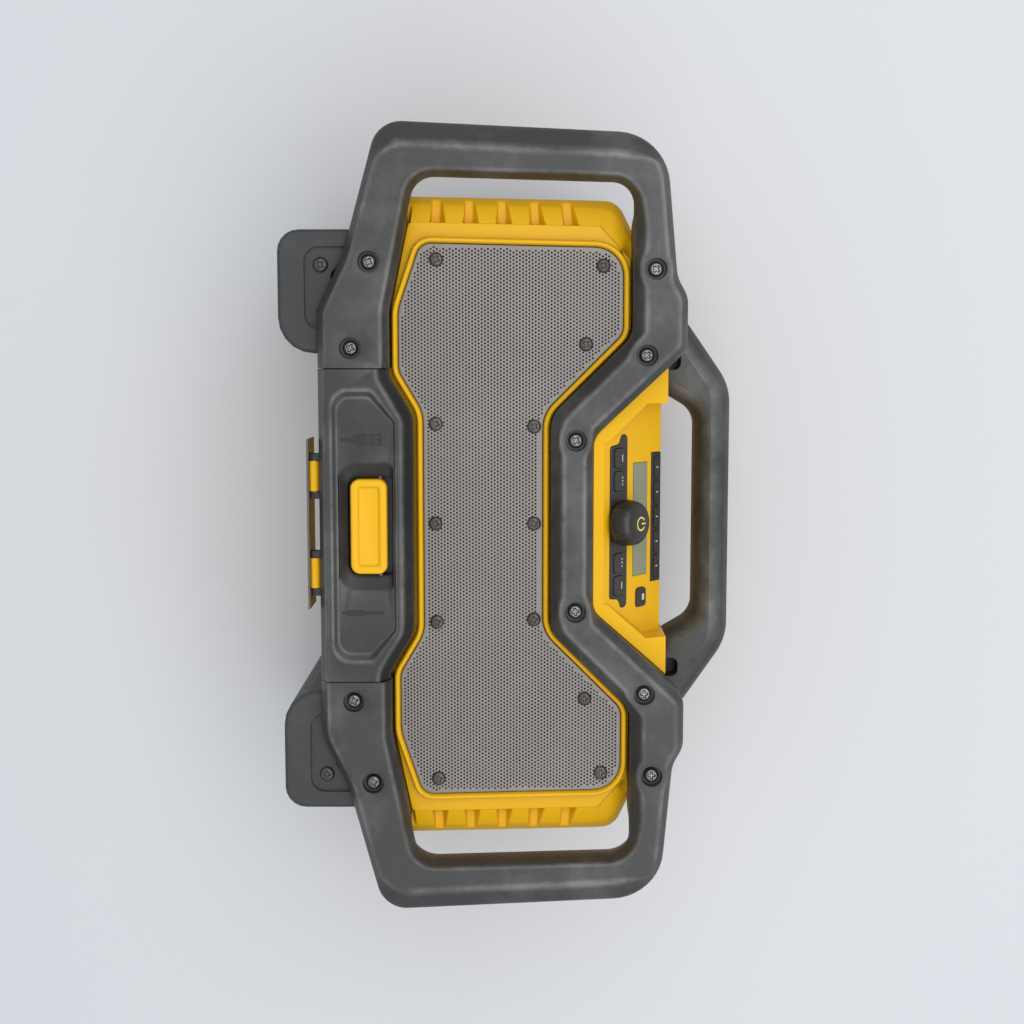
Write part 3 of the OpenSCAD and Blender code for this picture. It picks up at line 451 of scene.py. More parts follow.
YELLOW = Finish(
    "yellow_plastic", (0.75, 0.41, 0.006), 0.46,
    rubbed=(0.66, 0.38, 0.02), scuff=0.2, grain=0.08, edge=0.7, specular=0.25,
)
BLACK = Finish(
    "black_plastic", (0.027, 0.027, 0.0255), 0.48,
    rubbed=(0.17, 0.17, 0.162), scuff=0.6, worn=0.9, grain=0.35, edge=0.8,
)
# Paler, glossier copy of the yellow plastic for the panel's lip. Its lighter colour is a painted
# highlight for the light on the lip's rounded face.
LIP_HIGHLIGHT_YELLOW = replace(YELLOW, name="lip_painted_highlight_plastic", color=(0.84, 0.53, 0.05), roughness=0.36)
DOOR_BLACK = Finish(
    "door_plastic", (0.0125, 0.013, 0.0127), 0.45,
    rubbed=(0.125, 0.125, 0.12), scuff=0.3, worn=1.0, grain=0.3, edge=0.8,
)
RUBBER = Finish(
    "foot_rubber", (0.027, 0.029, 0.028), 0.58,
    rubbed=(0.10, 0.10, 0.098), scuff=0.5, grain=0.4, edge=1.2,
)
KNOB_RUBBER = Finish(
    "knob_rubber", (0.018, 0.016, 0.013), 0.38,
    rubbed=(0.05, 0.045, 0.04), scuff=0.3, grain=0.15,
)
KEY = Finish(
    "key_plastic", (0.030, 0.027, 0.022), 0.5,
    rubbed=(0.08, 0.075, 0.06), scuff=0.5, grain=0.2, edge=0.3,
)
GRILLE = Finish(
    "grille_metal", (0.20, 0.182, 0.168), 0.45, 0.3,
    rubbed=(0.28, 0.26, 0.245), scuff=0.5, grain=0.1,
)
STEEL = Finish("plain_steel", (0.55, 0.56, 0.57), 0.32, 1.0, grain=0.05)
SCREW = Finish(
    "screw_steel", (0.16, 0.155, 0.15), 0.32, 0.9,
    rubbed=(0.45, 0.45, 0.45), scuff=0.6, grain=0.1,
)
DARK_SCREW = Finish(
    "dark_screw", (0.075, 0.07, 0.065), 0.38, 0.8,
    rubbed=(0.25, 0.24, 0.23), scuff=0.6, grain=0.1,
)
DARK_STEEL = Finish("dark_steel", (0.10, 0.10, 0.10), 0.45, 0.6, rubbed=(0.3, 0.3, 0.3), scuff=0.5)
DISPLAY = Finish("display_glass", (0.215, 0.225, 0.14), 0.3, coat=0.2)
MARK = Finish("pale_mark", (0.55, 0.55, 0.50), 0.6)
MARK_WARM = Finish("warm_mark", (0.62, 0.55, 0.12), 0.6)
DARK = Finish("inner_black", (0.018, 0.018, 0.018), 0.7)
BOARD = Finish("board_green", (0.03, 0.15, 0.06), 0.5)
CONE = Finish("cone_black", (0.03, 0.03, 0.03), 0.55, grain=0.3)
BASKET = Finish("basket_metal", (0.07, 0.07, 0.07), 0.45, 0.5)
MAGNET = Finish("magnet_iron", (0.25, 0.24, 0.23), 0.5, 0.8)
ALUMINIUM = Finish("sink_aluminium", (0.6, 0.6, 0.6), 0.35, 1.0)
BRASS = Finish("terminal_brass", (0.6, 0.42, 0.12), 0.3, 1.0)
CAD_FINISHES: dict[str, Finish] = {
    finish.name: finish
    for finish in (
        YELLOW, BLACK, RUBBER, GRILLE, STEEL, SCREW, KEY, KNOB_RUBBER, DISPLAY,
        BOARD, CONE, BASKET, MAGNET, ALUMINIUM, BRASS,
    )
}
OWN_FINISHES: dict[str, Finish] = {"hinge_leaf": DARK_STEEL, "latch_pin": DARK_STEEL}


# Surfaces


@dataclass
class Surface:
    """Points and faces of one piece in millimetres, gathered patch by patch."""

    points: list[Array] = field(default_factory=list)
    faces: list[Array] = field(default_factory=list)
    worn: list[Array] = field(default_factory=list)
    count: int = 0

    def add(self, points: Array, faces: Array, worn: Array | float = 0.0) -> None:
        """Adds a patch.

        Args:
            points: Points (n, 3).
            faces: Point numbers (k, 3) or (k, 4), counted within the patch.
            worn: How far each point's edge is rubbed, 0 to 1.
        """
        self.points.append(points)
        self.worn.append(np.broadcast_to(np.asarray(worn, float), points.shape[:1]))
        self.faces.append(np.asarray(faces, int) + self.count)
        self.count += len(points)

    def grid(self, rows: Array, wrap: bool = False, worn: Sequence[float] | None = None) -> None:
        """Adds a sheet of quads through rows of points.

        Args:
            rows: Points (m, n, 3).
            wrap: Whether each row runs back to its first point.
            worn: How far each row is rubbed.
        """
        m, n = rows.shape[:2]
        i, j = np.meshgrid(np.arange(m - 1), np.arange(n if wrap else n - 1), indexing="ij")
        a, b = i * n + j, i * n + (j + 1) % n
        wear = 0.0 if worn is None else np.repeat(np.asarray(worn, float), n)
        self.add(rows.reshape(-1, 3), np.stack([a, b, b + n, a + n], -1).reshape(-1, 4), wear)

    def fill(self, loops: Sequence[Array], y: float, edges: Array | None = None) -> None:
        """Adds a flat face at depth y with holes, by constrained triangulation of its outlines.

        Args:
            loops: Closed outlines (n, 2), the outer one and the holes, in any order.
            y: Depth of the face.
            edges: Point pairs to use in place of the loops' own sides.
        """
        points = np.concatenate(loops)
        if edges is None:
            sizes = np.array([len(loop) for loop in loops])
            start = np.repeat(np.cumsum(sizes) - sizes, sizes)
            size = np.repeat(sizes, sizes)
            index = np.arange(len(points))
            edges = np.stack([index, start + (index - start + 1) % size], 1)
        corners = list(map(Vector, points.tolist()))
        made = delaunay_2d_cdt(corners, edges.tolist(), [], FILL_INSIDE, 1e-6)
        flat = np.array(list(map(tuple, made[0])))
        faces = np.array(made[2])
        keep = inside(flat[faces].mean(1), points[edges[:, 0]], points[edges[:, 1]])
        self.add(lift(flat, y), faces[keep])

    def loft(
        self, rings: Sequence[Array], caps: bool = True, worn: Sequence[float] | None = None
    ) -> None:
        """Adds a skin through closed rings, with flat faces on the first and the last.

        Args:
            rings: Rings (n, 3) with as many points each.
            caps: Whether the ends are closed, each by triangles to the middle of its ring.
            worn: How far each ring is rubbed.
        """
        self.grid(np.stack(rings), True, worn)
        if caps:
            for ring in (rings[0], rings[-1]):
                n = len(ring)
                index = np.arange(n)
                faces = np.stack([index, (index + 1) % n, np.full(n, n)], 1)
                self.add(np.concatenate([ring, ring.mean(0, keepdims=True)]), faces)

    def close_ends(self, first: Array, second: Array) -> None:
        """Closes both open ends of a bar by a sheet between its two skins.

        Args:
            first: Rows (m, n, 3) of one skin.
            second: Rows of the other.
        """
        for end in (0, -1):
            self.grid(np.stack([first[:, end], second[:, end]]))

    def cover(self, skins: Sequence[Array], row: int, y: float, holes: Sequence[Array]) -> None:
        """Fills the flat face between one row of each of a bar's two skins.

        Args:
            skins: The two skins, rows (m, n, 3) each.
            row: Which row bounds the face.
            y: Depth of the face.
            holes: Outlines left open in it.
        """
        loop = np.concatenate([skins[0][row], skins[1][row][::-1]])[:, [0, 2]]
        self.fill([loop, *holes], y)

    def turned(self, place: Matrix) -> "Surface":
        """Moves the whole piece.

        Args:
            place: Turn and shift, in millimetres.

        Returns:
            The moved piece.
        """
        m = np.array(place)
        moved = [p @ m[:3, :3].T + m[:3, 3] for p in self.points]
        return Surface(moved, list(self.faces), list(self.worn), self.count)

    def build(
        self,
        name: str,
        finish: Finish,
        body: str,
        replaces: Sequence[str] = (),
        crisp: float = 32.0,
    ) -> bpy.types.Object:
        """Makes the mesh object, welds its patches, shades it and puts it on its body.

        Args:
            name: Name of the piece.
            finish: Its finish.
            body: Body it rides on.
            replaces: CAD nodes it stands for.
            crisp: Angle in degrees above which an edge stays sharp.

        Returns:
            The object.
        """
        mesh = bpy.data.meshes.new(name)
        faces = [row for group in self.faces for row in group.tolist()]
        mesh.from_pydata((np.concatenate(self.points) * MM).tolist(), [], faces)
        edge = mesh.attributes.new("edge", "FLOAT", "POINT")
        edge.data.foreach_set("value", np.concatenate(self.worn))
        work = bmesh.new()
        work.from_mesh(mesh)
        bmesh.ops.remove_doubles(work, verts=work.verts, dist=2e-6)
        bmesh.ops.dissolve_degenerate(work, edges=work.edges, dist=1e-7)
        bmesh.ops.recalc_face_normals(work, faces=work.faces)
        work.to_mesh(mesh)
        work.free()
        mesh.shade_smooth()
        mesh.set_sharp_from_angle(angle=math.radians(crisp))
        mesh.materials.append(finish.material())
        piece = bpy.data.objects.new(name, mesh)
        bpy.context.scene.collection.objects.link(piece)
        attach(piece, body)
        if replaces:
            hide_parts(*replaces)
        LOG.info("%s: %d faces", name, len(mesh.polygons))
        return piece


# Cage


@dataclass
class FrontFrame:
    """Front frame of the cage: two side loops, a dip under the panel and a gap for the door."""

    front: float = -100.0
    seat: float = -70.0
    side_bevel: float = 14.5
    bevel: float = 5.5
    inner_bevel: float = 4.0
    inner_ease: float = 4.0
    dip_bevel: float = 7.5
    side_span: tuple[float, float] = (200.0, 216.0)
    dip_span: tuple[float, float] = (115.0, 150.0)
    loop_span: tuple[float, float] = (165.0, 188.0)
    ease_span: tuple[float, float] = (165.0, 185.0)
    ease_depth: tuple[float, float] = (10.0, 28.0)
    least_bevel: float = 0.5
    step: float = 3.0
    recess: float = 5.75
    recess_lip: float = 0.5
    recess_land: float = 2.4
    recess_depth: float = 5.0
    boss: tuple[float, float] = (104.0, 123.0)
    boss_z: tuple[float, float] = (205.3, 226.0)
    boss_radius: float = 3.0
    boss_sink: float = 4.0
    boss_back: float = -40.3
    outer: tuple[Corner, ...] = (
        Corner(88, 22.5),
        Corner(120, 22.5, 25),
        Corner(150, 37, 30),
        Corner(223.1, 57, 17),
        Corner(215.5, 215, 30),
        Corner(138, 222, 20),
        Corner(127, 228, 15),
        Corner(98, 228, 12),
        Corner(49, 176, 12),
    )
    inner: tuple[Corner, ...] = (
        Corner(88, 62.2),
        Corner(120, 62.2, 30),
        Corner(192.6, 77.2, 13),
        Corner(189.0, 197.4, 12),
        Corner(105.9, 197.9, 14),
        Corner(61, 152.5, 16),
    )
    screws: tuple[Place, ...] = ((142, 209.5), (95, 205), (48, 166), (146, 52), (99, 41.5))

    def edge(self) -> Array:
        """Section of a bevelled edge: share of the bevel's width, further draw, depth, rub.

        Returns:
            Rows (m, 4) from the front face round to the back.
        """
        share = (1.0, 1.0, 0.93, 0.86, 0.78, 0.62, 0.2, 0.1, 0.03, 0.0, 0.0, 0.0, 0.0, 0.0)
        draw = (1.6, 0.0, 0.0, 0.0, 0.0, 0.0, 0.0, 0.0, 0.0, 0.0, 0.0, 0.0, 0.5, 1.6)
        depth = (0.0, 0.0, 0.12, 0.5, 1.2, 2.8, 6.7, 7.8, 8.8, 10.0, 19.0, 28.0, 29.3, 30.0)
        rub = (0.0, 0.5, 1.0, 1.0, 0.6, 0.0, 0.0, 0.1, 0.2, 0.1, 0.0, 0.0, 0.3, 0.0)
        return np.stack([share, draw, depth, rub], 1)

    def places(self) -> list[Place]:
        """Screw places on both halves.

        Returns:
            Places as x and z.
        """
        return both(self.screws)

    def eased(self, path: Array, width: Array) -> Array:
        """Narrows the bevel beside a screw, so that the flat face goes all round its recess.

        Args:
            path: Edge points (n, 2).
            width: Bevel width at each point.

        Returns:
            The narrowed widths.
        """
        reach = np.linalg.norm(path[:, None] - np.array(self.places()), axis=2).min(1)
        room = reach - self.recess - self.recess_land
        return np.clip(np.minimum(width, room), self.least_bevel, None)

    def build(self) -> None:
        """Sweeps the bevelled section along both edges and cuts the screw recesses.

        Outer and inner skins are the edge paths moved inwards by the section's share of the local
        bevel width. Inside the side loops the inner skin falls back behind its bevel. The front
        face is filled between them, less a circle for each screw.
        """
        outer, inner = (densify(rounded(mirrored(half)), self.step) for half in (self.outer, self.inner))
        out_x, in_x = np.abs(outer[:, 0]), np.abs(inner[:, 0])
        out_w = self.bevel + (self.side_bevel - self.bevel) * smooth(out_x, *self.side_span)
        upper = smooth(inner[:, 1], *self.dip_span) * (1 - smooth(in_x, *self.loop_span))
        in_w = self.inner_bevel + (self.dip_bevel - self.inner_bevel) * upper
        out_w, in_w = self.eased(outer, out_w), self.eased(inner, in_w)
        ease = smooth(in_x, *self.ease_span) * self.inner_ease
        s = Surface()
        skins = []
        for path, width, side, back in ((outer, out_w, 1.0, 0.0 * out_x), (inner, in_w, -1.0, ease)):
            rows = []
            for f, b, d, _ in self.edge():
                fall = b + back * np.interp(d, self.ease_depth, (0.0, 1.0))
                rows.append(lift(offset(path, side * (f * width + fall)), self.front + d))
            skins.append(np.stack(rows))
            s.grid(skins[-1], worn=self.edge()[:, 3])
        holes = [circle(x, z, self.recess + self.recess_lip) for x, z in self.places()]
        s.cover(skins, 0, self.front, holes)
        s.cover(skins, -1, self.seat, [])
        s.close_ends(*skins)
        lip, deep = self.recess_lip, self.recess_depth
        well = ((lip, 0.0), (0.12, 0.15), (0.0, 0.5), (0.0, deep), (-3.5, deep))
        for x, z in self.places():
            rings = [lift(circle(x, z, self.recess + r), self.front + d) for r, d in well]
            s.loft(rings, caps=False)
        for x0, x1 in spans(*self.boss):
            loop = pad(x0, x1, *self.boss_z, self.boss_radius)
            s.loft([lift(loop, self.seat - self.boss_sink), lift(loop, self.boss_back)])
        s.build("roll_cage_front", BLACK, Body.HOUSING.value, ["front_frame"])


@dataclass
class Handle:
    """Carry handle: a grip and two slanted legs with a well each, its section six-sided."""

    front: float = -40.0
    depth: float = 40.0
    step: float = 5.0
    outer: tuple[Corner, ...] = (
        Corner(118, 205.3),
        Corner(118, 231.4, 14),
        Corner(76.4, 260.1, 34),
    )
    inner: tuple[Corner, ...] = (Corner(88, 205.3), Corner(72, 221, 20), Corner(61, 239.5, 14))
    upper: float = 12.6
    lower: float = 8.1
    well: tuple[float, float] = (86.0, 97.0)
    well_z: tuple[float, float] = (217.0, 229.5)
    well_radius: float = 4.0
    well_depth: float = 14.0

    def build(self) -> None:
        """Sweeps the six-sided section along both edges of the handle and sinks the two wells.

        Each edge path is moved into the bar by a share of the slope's height that falls from the
        front face to the level middle, and mirrored front to back.
        """
        outer, inner = (densify(rounded(mirrored(half)), self.step) for half in (self.outer, self.inner))
        share = (1.0, 0.965, 0.92, 0.3, 0.25, 0.07, 0.02, 0.0)
        depth = (0.0, 0.15, 0.55, 6.2, 6.9, 10.4, 11.6, 13.0)
        section = np.stack([share, depth], 1)
        back = section[::-1] * (1, -1) + (0, self.depth)
        section = np.concatenate([section, back])
        rub = np.interp(section[:, 0], (0.3, 0.9, 0.97, 1.0), (0.0, 0.8, 0.8, 0.0))
        s = Surface()
        skins = []
        for path, height in ((outer, self.upper), (inner, -self.lower)):
            rows = [lift(offset(path, f * height), self.front + d) for f, d in section]
            skins.append(np.stack(rows))
            s.grid(skins[-1], worn=rub)
        wells = [pad(*span, *self.well_z, self.well_radius) for span in spans(*self.well)]
        s.cover(skins, 0, self.front, wells)
        s.cover(skins, -1, self.front + self.depth, [])
        floor = self.front + self.well_depth
        for well in wells:
            s.loft([lift(well, self.front), lift(well, floor)], caps=False)
            s.fill([well], floor)
        s.close_ends(*skins)
        s.build("carry_grip", BLACK, Body.HOUSING.value, ["carry_handle"], crisp=38.0)


# Housing and grille


@dataclass
class FrontHousing:
    """Yellow front housing: round-nosed rim, ledge, notched flanks, shell and hinge arms."""

    rim_front: float = -84.0
    ledge_front: float = -77.0
    seat: float = -70.0
    flank: float = -51.0
    split: float = 20.0
    rim_width: float = 3.5
    rim_step: float = 1.2
    nose: float = 4.0
    shell: float = 4.0
    shell_step: float = 0.7
    flank_half: float = 184.5
    seat_half: float = 169.2
    back_half: float = 186.0
    slope_front: float = -76.95
    taper: float = 2.8
    brow: tuple[float, float] = (179.6, -72.2)
    band: tuple[float, float] = (184.0, -67.8)
    ridge: tuple[float, float, float] = (178.0, 169.3, 47.0)
    notch_z: tuple[float, ...] = (89.0, 107.7, 126.4, 145.1, 163.8)
    notch_floor: float = -69.6
    notch_low: tuple[float, float] = (-3.9, 10.0)
    notch_high: tuple[float, float] = (0.9, 2.1)
    sill: tuple[float, float, float] = (120.0, 62.2, 0.2013)
    sill_blend: tuple[float, float] = (0.4, 1.6)
    head_blend: tuple[float, float] = (191.0, 195.5)
    loop_half: float = 140.0
    knuckle: tuple[float, float] = (19.0, 36.0)
    arm_z: tuple[float, float] = (16.4, 22.0)
    arm_root: tuple[float, float, float] = (-69.5, -60.0, 31.0)
    bay: tuple[float, float, float] = (72.0, 34.6, 58.4)
    dip_top: float = 260.0
    dip_back: float = -40.0
    dip_tail: tuple[float, float] = (69.8, -27.7)

    def outline(self, clear: float, low: Corner, high: Corner) -> Array:
        """Outline that keeps a clearance to the cage and the door.

        Args:
            clear: The clearance.
            low: Lower corner of the side.
            high: Upper corner of the side.

        Returns:
            Points (n, 2), anticlockwise.
        """
        half = [
            Corner(62, 75.9 + clear, 18),
            Corner(85, 62.2 + clear, 16),
            Corner(121, 62.2 + clear, 30),
            low,
            high,
            Corner(105.3, 197.4 - clear, 14),
            Corner(60.6, 152.5 - clear, 16),
        ]
        return rounded(mirrored(half), True)

    def rim(self) -> Array:
        """Outer outline of the rim round the grille.

        Returns:
            Points (n, 2).
        """
        return self.outline(0.9, Corner(161, 76.8, 12), Corner(158, 196.5, 20))

    def shell_ring(self, side: float, taper: float = 0.0) -> Array:
        """Outline of the shell with its sides at a half width, as many points as the rim.

        Args:
            side: Half width at the sides.
            taper: How much narrower the sides are at their upper end.

        Returns:
            Points (n, 2).
        """
        half = [
            Corner(20, 30),
            Corner(75, 30),
            Corner(140, 30, 25),
            Corner(side, 66, 14),
            Corner(side - taper, 190, 12),
            Corner(151, 205, 10),
            Corner(60, 205),
        ]
        return rounded(mirrored(half), True)

    def clipped(self, ring: Array) -> Array:
        """Draws the points of an outline that lie beyond the slanted ridge back onto it.

        Args:
            ring: Points (n, 2).

        Returns:
            The outline with its upper corners cut along the ridge.
        """
        x, z, turn = self.ridge
        normal = np.array([math.cos(math.radians(turn)), math.sin(math.radians(turn))])
        side = np.where(ring[:, :1] < 0, -1.0, 1.0)
        right = np.concatenate([ring[:, :1] * side, ring[:, 1:]], 1)
        beyond = np.maximum((right - (x, z)) @ normal, 0.0) * (right[:, 1] > z)
        right = right - beyond[:, None] * normal
        return np.concatenate([right[:, :1] * side, right[:, 1:]], 1)

    def flank_rows(self, seat: Array, flank: Array) -> list[Array]:
        """Rows of the sloped flank with its grip notches.

        A row lies between the two rings, first on the slope from the ledge to the brow, then on the
        band that rounds it off and on the side behind it. The slope starts at the ledge's level
        inside the cage's loops and at the seat elsewhere. A notch is the deeper of the slope and
        a cut whose floor is level and whose two walls rise at their own rates.

        Args:
            seat: Ring at the front of the slope.
            flank: Ring at its back.

        Returns:
            Rows (n, 3) from front to back.
        """
        reach = np.array([self.seat_half, self.brow[0], self.band[0], self.flank_half])
        bends = (reach - self.seat_half) / (self.flank_half - self.seat_half)
        stops = (0.0, 0.6, 0.85, 1.0)
        across, height = np.abs(seat[:, 0]), seat[:, 1]
        bend, level, rate = self.sill
        sill = level + rate * (across - bend)
        open_front = smooth(height - sill, *self.sill_blend) * (1 - smooth(height, *self.head_blend))
        open_front *= across > self.loop_half
        start = self.seat + (self.slope_front - self.seat) * open_front
        away = seat[:, 1:] - np.array(self.notch_z)
        nearest = away[np.arange(len(away)), np.argmin(np.abs(away), axis=1)]
        rise = np.maximum(self.notch_low[0] - nearest, 0.0) * self.notch_low[1]
        rise += np.maximum(nearest - self.notch_high[0], 0.0) * self.notch_high[1]
        on_side = across > self.seat_half - self.taper - 1.0
        cut = np.where(on_side, self.notch_floor - rise, -np.inf)
        rows = [lift(seat, self.seat), lift(seat, start)]
        for t in np.linspace(0.02, 1, 26):
            share = np.interp(t, stops, bends)
            behind = np.interp(t, stops[1:], (self.brow[1], self.band[1], self.flank))
            y = np.where(t < stops[1], start + (self.brow[1] - start) * t / stops[1], behind)
            rows.append(lift(seat * (1 - share) + flank * share, np.maximum(y, cut)))
        return rows

    def build(self) -> None:
        """Makes the rim and the shell as rings run from the grille's opening to the rear seam.

        The rim's nose is half an ellipse across its width. The shell's rings follow the ledge, the
        flank and the flat sides, and come back along the inner face.
        """
        base = self.rim()
        rim = densify(base, self.rim_step, True)
        low, high = Corner(self.seat_half, 72.6, 3), Corner(self.seat_half - self.taper, 197.0, 10)
        ledge = self.clipped(densify(self.outline(0.4, low, high), self.rim_step, True, base))
        foot = self.rim_front + self.nose
        rings = [lift(offset(rim, self.rim_width, True), y) for y in (self.seat + self.shell, foot)]
        for a in np.linspace(0.08, 0.92, 11) * np.pi:
            draw = self.rim_width * (1 + math.cos(a)) / 2
            rings.append(lift(offset(rim, draw, True), self.rim_front + self.nose * (1 - math.sin(a))))
        rings += [lift(rim, y) for y in (foot, self.ledge_front)]
        for draw, depth in ((0.7, 0.0), (0.2, 0.25), (0.0, 0.9), (0.0, self.seat - self.ledge_front)):
            rings.append(lift(offset(ledge, draw, True), self.ledge_front + depth))
        front = Surface()
        front.loft(rings, caps=False)
        front.build("grille_rim", YELLOW, Body.HOUSING.value, ["front_housing"], crisp=40.0)
        self.build_shell()
        self.build_arms()

    def build_shell(self) -> None:
        """Makes the sloped flanks and the shell behind the ledge, cut out under the panel."""
        base = self.shell_ring(self.seat_half, self.taper)
        seat = self.clipped(densify(base, self.shell_step, True))
        flank = self.shell_ring(self.flank_half, self.taper)
        flank = densify(flank, self.shell_step, True, base)
        back = densify(self.shell_ring(self.back_half), self.shell_step, True, base)
        inner = offset(back, self.shell, True)
        seam = lift(back, self.split)
        s = Surface()
        s.loft([*self.flank_rows(seat, flank), seam], caps=False)
        s.loft([seam, lift(inner, self.split), lift(inner, self.flank)], caps=False)
        bay_half, bay_low, bay_high = self.bay
        bay = pad(-bay_half, bay_half, bay_low, bay_high, 0.5, 2)
        s.fill([seat, offset(self.rim(), self.rim_width, True), bay], self.seat)
        self.cut_dip(s.build("front_shell", YELLOW, Body.HOUSING.value))

    def cut_dip(self, piece: bpy.types.Object) -> None:
        """Removes the faces of the shell that lie inside the panel's dip.

        Args:
            piece: The shell.
        """
        work = bmesh.new()
        work.from_mesh(piece.data)
        loop = rounded(PANEL_DIP)[::-1]
        for a, b in zip(loop[:-1], loop[1:]):
            normal = Vector((b[1] - a[1], 0.0, a[0] - b[0]))
            place = Vector((a[0], 0, a[1])) * MM
            everything = [*work.verts, *work.edges, *work.faces]
            bmesh.ops.bisect_plane(work, geom=everything, plane_co=place, plane_no=normal)
        work.faces.ensure_lookup_table()
        x, y, z = (np.array([f.calc_center_median()[:] for f in work.faces]) / MM).T
        end = PANEL_DIP[0].x
        notch = np.concatenate([loop, [(end, self.dip_top), (-end, self.dip_top)]])
        cut = inside(np.stack([x, z], 1), notch, np.roll(notch, -1, 0)) & (y < self.dip_back)
        tail_half, tail_back = self.dip_tail
        tail = (np.abs(x) < tail_half) & (z > PANEL_DIP[1].z) & (y < tail_back)
        doomed = np.flatnonzero(cut | tail)
        bmesh.ops.delete(work, geom=[work.faces[i] for i in doomed.tolist()], context="FACES")
        work.to_mesh(piece.data)
        work.free()

    def build_arms(self) -> None:
        """Makes the yellow arms that hold the hinge pins: a round knuckle and a flat arm each."""
        ring = np.insert(circle(*HINGE, KNUCKLE_RADIUS, 32), 0, 0.0, axis=1)
        low, high = self.arm_z
        root, back, root_high = self.arm_root
        s = Surface()
        for x0, x1 in spans(*self.knuckle):
            s.loft([ring + (x0, 0, 0), ring + (x1, 0, 0)])
            for front, top in ((HINGE[0], high), (root, root_high)):
                loop = pad(x0, x1, low, top, 0.4, 2)
                s.loft([lift(loop, front), lift(loop, back)])
        s.build("hinge_arms", YELLOW, Body.HOUSING.value)


@dataclass
class Grille:
    """Perforated sheet: hexagonal cells with a hole each, a plain margin and a folded edge."""

    front: float = -82.0
    pitch: float = 2.05
    hole: float = 0.64
    margin: float = 0.3
    gap: float = 0.3
    fold: float = 0.8
    rows: tuple[int, int] = (34, 114)
    columns: tuple[int, int] = (-80, 81)
    screw_pad: float = 3.4
    screws: tuple[Place, ...] = ((144.5, 181.5), (101, 172), (55, 143), (148, 88.2), (56.5, 87.7))
    middle: tuple[Place, ...] = ((0.0, 143.0), (0.0, 87.2))

    def places(self) -> list[Place]:
        """Screw places.

        Returns:
            Places as x and z.
        """
        return both(self.screws) + list(self.middle)

    def hexagon(self) -> Array:
        """Corners of a cell about its centre.

        Returns:
            Points (6, 2).
        """
        return circle(0, 0, self.pitch / math.sqrt(3), 6)[:, ::-1]

    def cells(self, edge: Array) -> Array:
        """Centres of the hexagonal cells that lie wholly inside an outline and clear of the screws.

        Rows lie pitch times half the root of three apart, every second one moved by half a pitch.

        Args:
            edge: The outline.

        Returns:
            Centres (n, 2).
        """
        rise = self.pitch * math.sqrt(3) / 2
        j, i = np.meshgrid(np.arange(*self.rows), np.arange(*self.columns), indexing="ij")
        grid = np.stack([(i + 0.5 * (j % 2)) * self.pitch, j * rise], -1).reshape(-1, 2)
        corners = (grid[:, None] + self.hexagon()).reshape(-1, 2)
        whole = inside(corners, edge, np.roll(edge, -1, 0)).reshape(-1, 6).all(1)
        apart = np.linalg.norm(grid[:, None] - np.array(self.places()), axis=2).min(1)
        return grid[whole & (apart > self.screw_pad)]

    def build(self, rim: Array, rim_width: float) -> None:
        """Makes the sheet from cells, a filled margin and a folded edge.

        Each cell is a ring of six quads from its hexagon to its hole.
        The margin is triangulated between the sheet's outline and the sides that only one cell has.

        Args:
            rim: Outer outline of the rim round the grille.
            rim_width: Width of that rim.
        """
        face = offset(rim, rim_width + self.gap, True)
        flat = offset(face, self.fold, True)
        centres = self.cells(offset(flat, self.margin, True))
        corners = centres[:, None] + self.hexagon()
        holes = centres[:, None] + circle(0, 0, self.hole, 6)[:, ::-1]
        rows = np.insert(np.stack([corners, holes], 1), 1, self.front, axis=3)
        count = len(centres)
        j = np.arange(6)
        quad = np.stack([j, (j + 1) % 6, 6 + (j + 1) % 6, 6 + j], -1)
        faces = (np.arange(count)[:, None, None] * 12 + quad).reshape(-1, 4)
        s = Surface()
        s.add(rows.reshape(-1, 3), faces)
        keys = np.round(corners / 0.01).astype(int).reshape(-1, 2)
        _, first, number = np.unique(keys, axis=0, return_index=True, return_inverse=True)
        number = number.reshape(count, 6)
        sides = np.sort(np.stack([number, np.roll(number, -1, 1)], -1).reshape(-1, 2), 1)
        sides, seen = np.unique(sides, axis=0, return_counts=True)
        border = sides[seen == 1]
        used, local = np.unique(border, return_inverse=True)
        border_points = corners.reshape(-1, 2)[first[used]]
        n = len(flat)
        index = np.arange(n)
        edges = np.concatenate([np.stack([index, (index + 1) % n], 1), local.reshape(-1, 2) + n])
        s.fill([flat, border_points], self.front, edges)
        fold = ((self.fold, 0.0), (0.35, 0.12), (0.1, 0.4), (0.0, 0.9), (0.0, 12.0))
        s.loft([lift(offset(face, d, True), self.front + y) for d, y in fold], caps=False)
        s.build("grille_sheet", GRILLE, Body.HOUSING.value, ["grille"], crisp=25.0)


# Door


